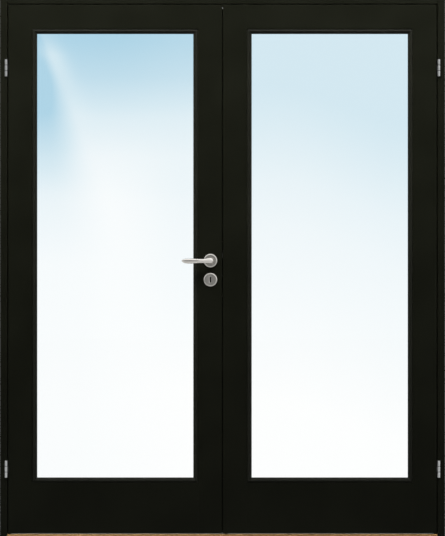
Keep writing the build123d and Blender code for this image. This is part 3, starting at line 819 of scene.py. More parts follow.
@dataclass(frozen=True)
class NodeDressing:
    """The finishes of the CAD nodes whose shapes are shown as they are."""

    finishes: tuple[tuple[Finish, tuple[str, ...]], ...] = (
        (FRAME_UPRIGHT, ("jamb_left", "jamb_right")),
        (FRAME_LEVEL, ("head",)),
        (OAK, ("threshold",)),
        (LEAF_UPRIGHT, ("active_hinge_stile", "active_lock_stile", "inactive_hinge_stile",
                        "inactive_meeting_stile", "meeting_stop")),
        (LEAF_LEVEL, ("active_top_rail", "active_bottom_rail", "inactive_top_rail", "inactive_bottom_rail")),
        (PANE, ("active_glass", "inactive_glass")),
        (RUBBER, ("frame_seals", "meeting_seal")),
        (FOAM, ("active_glazing_strips", "inactive_glazing_strips")),
        (BLOCK, ("active_setting_blocks", "inactive_setting_blocks")),
        (PLATE, ("bolt_keeps", "lock_forend", "strike_plate", "upper_bolt_plate", "lower_bolt_plate")),
        (BOLT_PAINTED_SHADE, ("upper_flush_bolt", "lower_flush_bolt", "dead_bolt", "latch_bolt")),
        (ZINC, ("lock_case", "lock_cover", "follower", "spindle")),
    )

    def build(self) -> None:
        """Puts each finish on the slots of its nodes."""
        for finish, nodes in self.finishes:
            for node in nodes:
                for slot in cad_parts[node].material_slots:
                    slot.material = finish.material()
            log.info("%s: %s", finish.name, ", ".join(nodes))


@dataclass(frozen=True)
class Beads:
    """The four mitred glazing beads on one face of a leaf, moulded to a soft ridge."""

    leaf: str
    face: Face
    width: float = 19.2
    depth: float = 15.0
    foot: float = 4.0
    shoulder: float = 11.6
    ridge_at: float = 8.6
    sight: float = 3.6
    joint: float = 0.08
    easing: float = 1.6
    seam: float = 0.1

    def section(self) -> Array:
        """The bead's closed section.

        Returns:
            Distance from the stile or rail and height over the bead's back, one point a row.
        """
        near = self.joint
        corners = [(near, self.foot), (near, self.shoulder), (self.ridge_at, self.depth)]
        corners += [(self.width, self.sight), (self.width, near), (near, near)]
        return np.vstack([eased(corners, self.easing), [(near, self.foot - self.seam)]])

    def bar(self, low: Array, high: Array, level: bool, far_side: bool) -> Patch:
        """One bead, a section carried from mitre to mitre.

        A point lies as far inside the leaf's opening as the section says; both ends of the bead are cut
        back by the same distance, which makes the mitres.

        Args:
            low: The opening's lowest X and Z in millimetres.
            high: The opening's highest X and Z.
            level: Whether the bead lies along X.
            far_side: Whether it lies on the opening's high side.

        Returns:
            The bead's surface.
        """
        inside, height = self.section().T
        along, across = (0, 1) if level else (1, 0)
        rows = np.empty((2, len(inside), 3))
        rows[..., 2 * along] = [low[along] + inside + self.joint, high[along] - inside - self.joint]
        rows[..., 2 * across] = high[across] - inside if far_side else low[across] + inside
        rows[..., 1] = self.face.level + self.face.outward * (height - self.depth)
        return capped(rows)

    def build(self) -> None:
        """Makes the four beads in place of their CAD node."""
        name = f"{self.leaf}_{self.face.name.lower()}_beads"
        box = np.array([tuple(corner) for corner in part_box(name)]) / MM
        low, high = box[:, [0, 2]]
        bars = [self.bar(low, high, level, far_side) for level in (True, False) for far_side in (True, False)]
        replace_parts(piece_from(f"{name}_moulded", bars, BEAD_PAINTED_HIGHLIGHT, f"{self.leaf}_leaf"), name)


@dataclass(frozen=True)
class ScrewHead:
    """A countersunk head with a cross slot."""

    centre: Triple
    outward: Triple
    radius: float = 3.4
    proud: float = 0.25
    crown: float = 0.7
    slot_half: float = 0.45
    slot_reach: float = 1.9
    slot_depth: float = 1.1
    slot_lip: float = 1.5
    reach_lip: float = 1.08
    cone: float = 0.45
    sunk: float = 1.6

    def patches(self) -> list[Patch]:
        """The crowned top with its cross slot, and the cone below it.

        A square grid is drawn into a disc: each coordinate shrinks by the root of one less half the
        other's square. Height over the plate is a crown that falls with the square of the radius, less
        the slot's depth where a point lies in one of the cross's two bars.

        Returns:
            The top and the cone, which meet at the rim.
        """
        slot, reach = self.slot_half / self.radius, self.slot_reach / self.radius
        half = np.array([slot, slot * self.slot_lip, reach, reach * self.reach_lip, 1.0])
        line = np.hstack([-half[::-1], half])
        a, b = np.meshgrid(line, line, indexing="ij")
        flat = np.stack([a * np.sqrt(1 - b**2 / 2), b * np.sqrt(1 - a**2 / 2)], -1)
        hair = 1.01
        narrow, within = slot * hair, reach * hair
        cross = ((abs(a) < narrow) & (abs(b) < within)) | ((abs(b) < narrow) & (abs(a) < within))
        height = self.proud * (1 - self.crown * (flat**2).sum(-1)) - self.slot_depth * cross
        last = len(line) - 1
        ahead, back = range(last), range(last, 0, -1)
        border = [(i, 0) for i in ahead] + [(last, i) for i in ahead]
        border += [(i, last) for i in back] + [(0, i) for i in back]
        rim = flat[tuple(np.array(border).T)]
        cone = rim[None] * np.array([1.0, self.cone, 0.0])[:, None, None]
        drops = np.array([height[0, 0], -self.sunk, -self.sunk])[:, None]
        return [
            self.laid(flat, height, False),
            self.laid(cone, np.broadcast_to(drops, cone.shape[:2]), True),
        ]

    def laid(self, flat: Array, height: Array, ring: bool) -> Patch:
        """Lays points of a unit disc, each with its height, on the plate.

        A point is the head's centre, plus its place in the disc times the radius, plus its height.

        Args:
            flat: The places in a disc of radius one.
            height: The height of each point over the plate.
            ring: Whether the points go round.

        Returns:
            The surface through the points.
        """
        along, across, third = directions(self.outward)
        spread = flat[..., :1] * across + flat[..., 1:] * third
        return Patch(np.asarray(self.centre, float) + self.radius * spread + height[..., None] * along, ring)


@dataclass(frozen=True)
class Hinge:
    """A hinge with three knuckles: frame half, leaf half and the pin between them."""

    hand: str
    height: str
    side: float
    level: float
    leaf: str
    rebate_x: float = 829.5
    edge_x: float = 826.5
    face_y: float = -46.0
    barrel_x: float = 834.7
    barrel_y: float = -51.5
    barrel_radius: float = 5.2
    bore: float = 2.85
    pin_radius: float = 2.7
    knuckle: float = 21.5
    gap: float = 0.4
    rim: float = 0.7
    groove: float = 0.85
    plate_width: float = 30.0
    plate_thickness: float = 2.0
    set_back: float = 2.5
    overlap: float = 2.0
    crank_thickness: float = 2.4
    crank_clear: float = 0.6
    crank_ease: float = 0.05
    strap_inset: float = 1.0
    strap_short: float = 1.5
    screw_places: tuple[Pair, ...] = ((24.0, 9.0), (9.5, 21.0), (-9.5, 21.0), (-24.0, 9.0))

    def low(self, index: int) -> float:
        """The lower end of a knuckle, counted from the bottom."""
        return self.level - 1.5 * self.knuckle - self.gap + index * (self.knuckle + self.gap)

    def axis_at(self, index: int) -> Triple:
        """The point on the hinge's axis at the lower end of a knuckle."""
        return self.side * self.barrel_x, self.barrel_y, self.low(index)

    def xs(self, *distances: float) -> tuple[float, ...]:
        """Distances from the middle of the doors as places along X on the hinge's side."""
        return tuple(self.side * distance for distance in distances)

    def strap_zs(self, index: int) -> Pair:
        """The lower and the upper end of a knuckle's strap."""
        low = self.low(index) + self.strap_inset
        return low, low + self.knuckle - 2 * self.strap_inset

    def barrel(self, index: int) -> Patch:
        """One knuckle with eased rims, and with a groove where another one follows.

        The middle one is bored, the outer ones are closed.

        Args:
            index: The knuckle's number, counted from the bottom.

        Returns:
            The knuckle's surface.
        """
        low, high = self.groove * (index > 0), self.knuckle - self.groove * (index < 2)
        bore = self.bore if index == 1 else 0.0
        ring = [(bore, low), (self.barrel_radius, low), (self.barrel_radius, high), (bore, high)]
        if bore:
            ring = [(bore, self.knuckle / 2), *ring, (bore, self.knuckle / 2)]
        return turned(eased(ring, self.rim), self.axis_at(index), (0.0, 0.0, 1.0))

    def plate(self, face_x: float, inner_x: float) -> Patch:
        """The plate that is let into the wood.

        Args:
            face_x: How far the plate's face is from the middle of the doors.
            inner_x: How far its back is.

        Returns:
            The plate's surface.
        """
        half = 1.5 * self.knuckle + self.gap
        ys = (self.face_y + self.set_back, self.face_y + self.plate_width)
        return soft_block(self.xs(face_x, inner_x), ys, (self.level - half, self.level + half))

    def screws(self, face_x: float, way: float) -> list[Patch]:
        """Four screws in a zigzag over the face of a plate.

        Args:
            face_x: How far the plate's face is from the middle of the doors.
            way: The way that the heads look: 1 away from the middle of the doors, -1 towards it.

        Returns:
            The surfaces of the heads.
        """
        patches = []
        for rise, depth in self.screw_places:
            at = (self.side * face_x, self.face_y + depth, self.level + rise)
            patches += ScrewHead(at, (self.side * way, 0.0, 0.0)).patches()
        return patches

    def frame_plate(self) -> list[Patch]:
        """Plate in the rebate, with the straps of the upper and the lower knuckle.

        Returns:
            The surfaces of the plate, its screws and its straps.
        """
        inner = self.rebate_x + self.plate_thickness
        xs = self.xs(self.rebate_x, inner)
        ys = (self.barrel_y, self.face_y + self.set_back + self.overlap)
        straps = [soft_block(xs, ys, self.strap_zs(index)) for index in (0, 2)]
        return [self.plate(self.rebate_x, inner), *self.screws(self.rebate_x, -1.0), *straps]

    def leaf_plate(self) -> list[Patch]:
        """Plate in the leaf's edge, cranked in front of the frame to the middle knuckle.

        The crank's two blocks differ by a hair, so that no two of their faces lie in one plane.

        Returns:
            The surfaces of the plate, its screws and both blocks of its crank.
        """
        inner = self.edge_x - self.plate_thickness
        low, high = self.strap_zs(1)
        back = self.face_y - self.crank_clear
        front = back - self.crank_thickness
        ease = self.crank_ease
        edge_ys = (front + ease, self.face_y + self.set_back + self.overlap)
        strap_xs = self.xs(self.barrel_x - self.strap_short, inner + ease)
        return [
            self.plate(self.edge_x, inner),
            *self.screws(self.edge_x, 1.0),
            soft_block(self.xs(self.edge_x, inner), edge_ys, (low + ease, high - ease)),
            soft_block(strap_xs, (front, back), (low, high)),
        ]

    def pin(self) -> Patch:
        """The pin, from the middle of the lower knuckle to the middle of the upper one.

        Returns:
            The pin's surface.
        """
        low, high = self.knuckle / 2, 2.5 * self.knuckle + 2 * self.gap
        profile = [(0.0, low), (self.pin_radius, low), (self.pin_radius, high), (0.0, high)]
        return turned(np.array(profile), self.axis_at(0), (0.0, 0.0, 1.0), segments=24)

    def build(self) -> None:
        """Makes the plates and the knuckles of both halves, each on its body."""
        name = f"{self.hand}_{self.height}_hinge"
        halves = (
            ("frame", "frame", self.frame_plate(), [self.barrel(0), self.barrel(2)]),
            ("leaf", self.leaf, self.leaf_plate(), [self.barrel(1)]),
        )
        for part, body, plate, knuckles in halves:
            for piece in (
                piece_from(f"{name}_{part}_strap", plate, DARK_HINGE_STEEL, body),
                piece_from(f"{name}_{part}_knuckles", knuckles, HINGE, body),
            ):
                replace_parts(piece, f"{name}_{part}_plate")


@dataclass(frozen=True)
class Hinges:
    """The four hinges and their pins."""

    levels: tuple[tuple[str, float], ...] = (("upper", 1813.5), ("lower", 265.5))
    sides: tuple[tuple[str, float, str], ...] = (
        ("left", -1.0, "active_leaf"),
        ("right", 1.0, "inactive_leaf"),
    )

    def build(self) -> None:
        """Makes each hinge, and all the pins as one piece."""
        pins = []
        for hand, side, leaf in self.sides:
            for height, level in self.levels:
                hinge = Hinge(hand, height, side, level, leaf)
                hinge.build()
                pins.append(hinge.pin())
        # The pins are dark steel: painted shade in the gaps between the knuckles.
        piece_from("hinge_pins", pins, DARK_HINGE_STEEL, "frame")


class Hole(Enum):
    """What a rose is cut through for."""

    NECK = "neck"
    KEY = "key"


@dataclass(frozen=True)
class Rose:
    """A round rose with a bevelled rim, cut through for a lever's neck or for a key."""

    face: Face
    level: float
    hole: Hole
    radius: float = 26.0
    thickness: float = 8.0
    bevel: float = 3.6
    bevel_fall: float = 1.5
    foot: float = 0.1
    hole_flat: float = 3.0
    hole_easing: float = 0.35
    rim_flat: float = 1.0
    rim_easing: float = 0.55
    neck_hole: float = 10.95
    key_radius: float = 3.2
    key_slot_half: float = 2.6
    key_rise: float = KEY_RISE
    key_drop: float = 10.9
    key_crowding: float = 0.16
    segments: int = 96

    def hole_edge(self, angle: Array) -> Array:
        """How far the hole reaches from the rose's middle.

        For the neck it is one radius all round. For the key it is the further one of two lines: the
        round's, found from the angle by the rule of cosines, and the slot's, which is the nearer one
        of its side and its end.

        Args:
            angle: The angles round the rose, which start at the top.

        Returns:
            A distance for each angle.
        """
        if self.hole is Hole.NECK:
            return np.full_like(angle, self.neck_hole)
        across, up = np.sin(angle), np.cos(angle)
        inside = self.key_radius**2 - (self.key_rise * across) ** 2
        round_line = np.where((inside > 0) & (up > 0), self.key_rise * up + np.sqrt(np.maximum(inside, 0)), 0)
        least = 1e-9
        side = self.key_slot_half / np.maximum(abs(across), least)
        end = np.where(up > 0, self.key_rise, self.key_drop) / np.maximum(abs(up), least)
        return np.maximum(round_line, np.minimum(side, end))

    def patch(self) -> Patch:
        """The rose's whole surface, from the hole's wall over the face and the rim to the leaf.

        Each point of the profile has a share of the way from the hole's edge to the rim, a step in
        or out from there and a height over the leaf; its radius is the hole's edge times one less
        the share, plus the rim's radius times the share, plus the step. Round a keyhole the angles
        stand closer above and below it.

        Returns:
            The rose's surface.
        """
        top, shoulder = self.thickness, self.thickness - self.bevel_fall
        inner = eased([(0.0, self.foot), (0.0, top), (self.hole_flat, top)], self.hole_easing)[:-1]
        rim = [(-self.bevel - self.rim_flat, top), (-self.bevel, top), (0.0, shoulder), (0.0, self.foot)]
        outer = eased(rim, self.rim_easing)[1:]
        rows = [(0.0, *point) for point in inner] + [(1.0, *point) for point in outer]
        rows.append((0.0, 0.0, self.foot))
        share, step, height = np.array(rows).T[..., None]
        angle = turn_angles(self.segments)[None]
        if self.hole is Hole.KEY:
            angle = angle - self.key_crowding * np.sin(2 * angle)
        radius = (1 - share) * self.hole_edge(angle) + share * self.radius + step
        x = LOCK_X + radius * np.sin(angle)
        z = self.level + radius * np.cos(angle)
        y = self.face.level + self.face.outward * np.broadcast_to(height, radius.shape)
        return Patch(np.stack([x, y, z], -1))


@dataclass(frozen=True)
class Handle:
    """The lever of one face: a round neck, an elbow and a bar that thins and fills towards its tip."""

    face: Face
    neck_radius: float = 10.4
    neck_foot: float = 0.5
    neck_overlap: float = 1.0
    stand: float = 52.0
    reach: float = 111.0
    half_depth: float = 7.0
    elbow: float = 46.0
    sweep: float = 12.0
    sweep_power: float = 1.2
    end_round: float = 4.0
    end_power: float = 2.4
    back_drop: float = 6.0
    back_ends: Pair = (-2.0, 14.0)
    close_at: float = 70.0
    close_power: float = 3.2
    waist_at: float = 28.0
    waists: Pair = (6.8, 9.8)
    fullest_at: float = 82.0
    fullests: Pair = (8.7, 11.9)
    tip_power: float = 2.3
    power: float = 2.2
    stations: int = 96
    around: int = 48
    screw_at: float = 20.0
    screw_sunk: float = 0.75
    screw: tuple[Pair, ...] = (
        (0.0, 0.12), (1.1, 0.12), (1.3, 0.54), (1.9, 0.54), (2.1, 0.42), (2.1, -0.6), (0.0, -0.6)
    )

    def height_from_axis(self, u: Array, waist: float, fullest: float) -> Array:
        """How far the bar's upper or lower edge is from the axis's level, at a distance from the axis.

        Behind the axis it is the neck's circle. Then it goes to the waist and to the fullest place
        by half a cosine wave each, and from there falls along a quarter of an oval to the tip.

        Args:
            u: The distances from the neck's axis.
            waist: The edge's height at the waist.
            fullest: The edge's height at the fullest place.

        Returns:
            A height for each distance.
        """
        ring = np.sqrt(np.maximum(self.neck_radius**2 - np.minimum(u, 0) ** 2, 0))
        to_waist = (1 - np.cos(np.pi * part_way(u, 0.0, self.waist_at))) / 2
        to_full = (1 - np.cos(np.pi * part_way(u, self.waist_at, self.fullest_at))) / 2
        bar = self.neck_radius + (waist - self.neck_radius) * to_waist + (fullest - waist) * to_full
        return np.where(u < 0, ring, bar) * oval(part_way(u, self.fullest_at, self.reach), self.tip_power)

    def depths(self, u: Array) -> tuple[Array, Array]:
        """How far the bar's back and front stand off the leaf at a distance from the neck's axis.

        The front sinks towards the neck, by the sweep times a power of the share of the way there, and
        turns round the neck's side along a quarter of an oval. Both close on the middle at the tip
        along another one.

        Args:
            u: The distances from the neck's axis.

        Returns:
            The back's and the front's distance from the leaf, for each distance from the axis.
        """
        low, high = self.stand - self.half_depth, self.stand + self.half_depth
        swept = high - self.sweep * part_way(u, self.elbow, -self.neck_radius) ** self.sweep_power
        end = part_way(u, self.end_round, -self.neck_radius)
        front = low + (swept - low) * oval(end, self.end_power)
        back = low - self.back_drop * (1 - part_way(u, *self.back_ends))
        close = oval(part_way(u, self.close_at, self.reach), self.close_power)
        middle = (front + back) / 2
        return middle + (back - middle) * close, middle + (front - middle) * close

    def bar(self) -> Patch:
        """The bar and the elbow, section by section.

        A section is an oval of a power a little over two: its depth and its height are the cosine
        and the sine of an angle, raised to two over that power with their signs kept. The sections
        stand closer at both ends, by the cosine of even steps.

        Returns:
            The bar's surface.
        """
        steps = np.linspace(0, np.pi, self.stations)[:, None]
        u = (self.reach - self.neck_radius) / 2 - (self.reach + self.neck_radius) / 2 * np.cos(steps)
        back, front = self.depths(u)
        angle = turn_angles(self.around)[None]
        waves = (np.cos(angle), np.sin(angle))
        depth, height = (np.sign(wave) * abs(wave) ** (2 / self.power) for wave in waves)
        y = self.face.level + self.face.outward * ((front + back) / 2 + (front - back) / 2 * depth)
        upper, lower = (self.height_from_axis(u, *sizes) for sizes in zip(self.waists, self.fullests))
        z = LEVER_LEVEL + np.where(height > 0, upper, lower) * height
        return Patch(np.stack([np.broadcast_to(LOCK_X - u, y.shape), y, z], -1))

    def neck(self) -> Patch:
        """The round neck from inside the rose into the elbow.

        Returns:
            The neck's surface.
        """
        low, top = self.neck_foot, self.stand - self.half_depth + self.neck_overlap
        profile = [(0.0, low), (self.neck_radius, low), (self.neck_radius, top), (0.0, top)]
        centre = (LOCK_X, self.face.level, LEVER_LEVEL)
        rounded = eased(profile, reach=0.4, steps=2)
        return turned(rounded, centre, (0.0, self.face.outward, 0.0), segments=64)

    def grub_screw(self) -> Patch:
        """The small socket screw under the neck that holds the lever on its spindle.

        Returns:
            The screw's surface.
        """
        y = self.face.level + self.face.outward * self.screw_at
        at = (LOCK_X, y, LEVER_LEVEL - self.neck_radius + self.screw_sunk)
        return turned(np.array(self.screw), at, (0.0, 0.0, -1.0), segments=12)

    def build(self) -> None:
        """Makes the lever in place of its CAD node."""
        side = self.face.name.lower()
        patches = [self.bar(), self.neck(), self.grub_screw()]
        piece = piece_from(f"{side}_lever_smooth", patches, LEVER, "lever_set")
        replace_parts(piece, f"{side}_lever")


@dataclass(frozen=True)
class Furniture:
    """Levers and roses on both faces of the active leaf."""

    roses: tuple[tuple[Hole, float, Finish], ...] = (
        (Hole.NECK, LEVER_LEVEL, HANDLE_ROSE),
        (Hole.KEY, KEY_LEVEL, KEY_ROSE),
    )

    def build(self) -> None:
        """Makes the levers, and the roses in two pieces by their brushing."""
        for face in Face:
            Handle(face).build()
        for hole, level, finish in self.roses:
            patches = [Rose(face, level, hole).patch() for face in Face]
            piece = piece_from(f"{hole.value}_roses", patches, finish, "active_leaf")
            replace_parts(piece, "roses")


@dataclass(frozen=True)
class LockLevers:
    """The pack of thin brass levers inside the lock that shows in the keyholes, coloured nearly black as
    painted shade inside them.
    """

    count: int = 5
    pitch: float = 1.7
    thickness: float = 1.3
    half_width: float = 9.0
    heights: Pair = (983.0, 1012.0)
    middle_y: float = -26.0
    easing: float = 0.2

    def build(self) -> None:
        """Makes the levers side by side, a little uneven in width, inside the lock case."""
        patches = []
        for index in range(self.count):
            y = self.middle_y + (index - (self.count - 1) / 2) * self.pitch
            xs = (LOCK_X - self.half_width + index % 2, LOCK_X + self.half_width - index % 3)
            ys = (y - self.thickness / 2, y + self.thickness / 2)
            patches.append(soft_block(xs, ys, self.heights, self.easing))
        piece_from("lock_levers", patches, BRASS_PAINTED_SHADE, "active_leaf")


@dataclass(frozen=True)
class LatchSpring:
    """The round-wound spring round the latch's tail, which the latch presses together."""

    radius: float = 4.2
    wire_radius: float = 0.4
    turns: int = 4
    steps: int = 28
    around: int = 8
    pressed: float = 0.28

    def coil(self, low: Array, high: Array) -> Patch:
        """The wire from the guide to the latch's head, inside the box between two corners.

        The wire's middle goes round the box's own middle by an angle that grows evenly with the way
        along X. Its surface is that middle, plus the wire's radius times the cosine of a second angle
        along the coil's radius and its sine along X.

        Args:
            low: The box's lowest corner in millimetres.
            high: The box's highest corner.

        Returns:
            The wire's surface.
        """
        share = np.linspace(0, 1, self.turns * self.steps + 1)[:, None]
        angle = share * self.turns * 2 * np.pi
        turn = turn_angles(self.around)[None]
        centre = (low + high) / 2
        reach = self.radius + self.wire_radius * np.cos(turn)
        length = high[0] - low[0] - 2 * self.wire_radius
        x = low[0] + self.wire_radius + share * length + self.wire_radius * np.sin(turn)
        return capped(np.stack([x, centre[1] + reach * np.cos(angle), centre[2] + reach * np.sin(angle)], -1))

    def build(self) -> None:
        """Makes the spring in place of its CAD node."""
        low, high = (np.array(corner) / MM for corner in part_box("latch_spring"))
        piece = piece_from("latch_spring_coil", [self.coil(low, high)], SPRING, "active_leaf")
        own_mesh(piece)
        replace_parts(piece, "latch_spring")


@dataclass(frozen=True)
class PlateScrews:
    """The screws of the plates in the leaves' meeting edges and of the keeps.

    A plate is given with its body, the way that it looks along X and how far in from its ends the
    screws sit; a keep with its level and the way that it looks along Z.
    """

    plates: tuple[tuple[str, str, float, float], ...] = (
        ("lock_forend", "active_leaf", 1.0, 9.0),
        ("strike_plate", "inactive_leaf", -1.0, 6.5),
        ("upper_bolt_plate", "inactive_leaf", -1.0, 9.0),
        ("lower_bolt_plate", "inactive_leaf", -1.0, 9.0),
    )
    keeps: tuple[Pair, ...] = ((2060.0, -1.0), (15.0, 1.0))
    keep_steps: Pair = (-14.5, 14.5)
    edge_x: float = 1.5
    middle_y: float = -26.0
    flush_x: float = 13.5

    def build(self) -> None:
        """Makes the screws of each plate, on the plate's body, and those of both keeps."""
        for name, body, way, inset in self.plates:
            low, high = (corner.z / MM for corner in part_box(name))
            patches = []
            for level in (low + inset, high - inset):
                at = (-way * self.edge_x, self.middle_y, level)
                patches += ScrewHead(at, (way, 0.0, 0.0), radius=3.0).patches()
            piece_from(f"{name}_screws", patches, PLATE, body)
        patches = []
        for level, way in self.keeps:
            for step in self.keep_steps:
                at = (self.flush_x + step, self.middle_y, level)
                patches += ScrewHead(at, (0.0, 0.0, way), radius=2.6, slot_reach=1.6).patches()
        piece_from("keep_screws", patches, PLATE, "frame")


# Studio


@dataclass(frozen=True)
class Camera:
    """A camera straight in front, so far off that the doors show almost without perspective."""

    distance: float = 25.0
    height: float = 1.0414
    door_face: float = -0.046
    view_half_height: float = 1.0339
    sensor: float = 36.0
    clips: Pair = (1.0, 400.0)

    def build(self) -> None:
        """Sets the camera, whose picture just holds the doors."""
        data = bpy.data.cameras.new("camera")
        data.sensor_width = self.sensor
        data.lens = self.sensor * self.distance / (2 * self.view_half_height)
        data.clip_start, data.clip_end = self.clips
        eye = bpy.data.objects.new("camera", data)
        eye.location = (0.0, self.door_face - self.distance, self.height)
        eye.rotation_euler = (math.pi / 2, 0.0, 0.0)
        bpy.context.scene.collection.objects.link(eye)
        bpy.context.scene.camera = eye


@dataclass(frozen=True)
class SoftBox:
    """A large soft lamp that looks at a point."""

    name: str
    place: Triple
    aim: Triple
    size: Pair
    watts: float
    spread: float = 180.0
    mirrored: bool = True

    def build(self) -> None:
        """Hangs the lamp, unseen by the camera."""
        lamp = bpy.data.lights.new(self.name, "AREA")
        lamp.shape = "RECTANGLE"
        lamp.size, lamp.size_y = self.size
        lamp.energy = self.watts
        lamp.spread = math.radians(self.spread)
        holder = bpy.data.objects.new(self.name, lamp)
        bpy.context.scene.collection.objects.link(holder)
        look = np.subtract(self.aim, self.place)
        holder.location = self.place
        holder.rotation_euler = Vector(look).to_track_quat("-Z", "Y").to_euler()
        holder.visible_camera = False
        holder.visible_transmission = False
        holder.visible_glossy = self.mirrored


def stage_sheet(name: str, corners: Sequence[Triple], material: Material) -> None:
    """Lays a flat sheet that belongs to the stage.

    Args:
        name: The sheet's name.
        corners: Its four corners in metres.
        material: What it is made of.
    """
    mesh = bpy.data.meshes.new(name)
    mesh.from_pydata(corners, [], [(0, 1, 2, 3)])
    mesh.materials.append(material)
    item = bpy.data.objects.new(name, mesh)
    bpy.context.scene.collection.objects.link(item)


@dataclass(frozen=True)
class Floor:
    """A wide pale floor, which gives off a part of the light that is seen of it."""

    half: float = 70.0
    level: float = -2e-4
    deep: Triple = (0.78, 0.78, 0.77)
    pale: Triple = (0.82, 0.82, 0.815)
    dim: Triple = (0.20, 0.20, 0.20)
    dark: Triple = (0.0, 0.0, 0.0)
    roughness: float = 0.75
    shine: float = 0.2
    far_ends: Pair = (3.0, 9.0)
    bearing_ends: Pair = (0.12, 0.40)
    least_ahead: float = 0.1
    bounce_loss: float = 0.7
    gloss_gain: float = 0.12
    glow_share: float = 0.62

    def shader(self, sheet: Sheet) -> Socket:
        """Lays the floor's nodes, matt and faintly uneven.

        Gloss sees the floor darker far off in front of the doors, up to a bearing, which is X over
        the distance in front. The light that it throws on other things is darker too.

        Args:
            sheet: The material's sheet.

        Returns:
            The floor's shader.
        """
        point = sheet.place()
        at, path = sheet.parts(point), sheet.add("LightPath").outputs
        colour = sheet.mix(sheet.noise(point, scale=0.8, detail=3.0), self.deep, self.pale)
        in_front = sheet.math("MAXIMUM", sheet.math("MULTIPLY", at["Y"], -1.0), self.least_ahead)
        bearing = sheet.math("DIVIDE", at["X"], in_front)
        far = sheet.spread(sheet.vector("LENGTH", point), *self.far_ends)
        dimmed = sheet.math("MULTIPLY", far, sheet.spread(bearing, *self.bearing_ends, 1.0, 0.0))
        mirrored = sheet.mirrored(path)
        colour = sheet.mix(sheet.math("MULTIPLY", mirrored, dimmed), colour, self.dim)
        bounced = sheet.math("MULTIPLY", path["Is Diffuse Ray"], self.bounce_loss)
        colour = sheet.mix(bounced, colour, self.dark)
        inputs = {"Base Color": colour, "Roughness": self.roughness, "Specular IOR Level": self.shine}
        matt = sheet.add("BsdfPrincipled", inputs)
        strength = sheet.math("MULTIPLY_ADD", mirrored, self.gloss_gain, 1.0)
        glow = sheet.add("Emission", {"Color": colour, "Strength": strength})
        seen = sheet.math("MAXIMUM", sheet.looked_at(path), path["Is Glossy Ray"])
        return sheet.blend(sheet.math("MULTIPLY", seen, self.glow_share), matt, glow)

    def build(self) -> None:
        """Lays the floor a hair under the doors."""
        far, level = self.half, self.level
        corners = [(-far, -far, level), (far, -far, level), (far, far, level), (-far, far, level)]
        stage_sheet("floor", corners, new_material("pale_floor", self.shader))


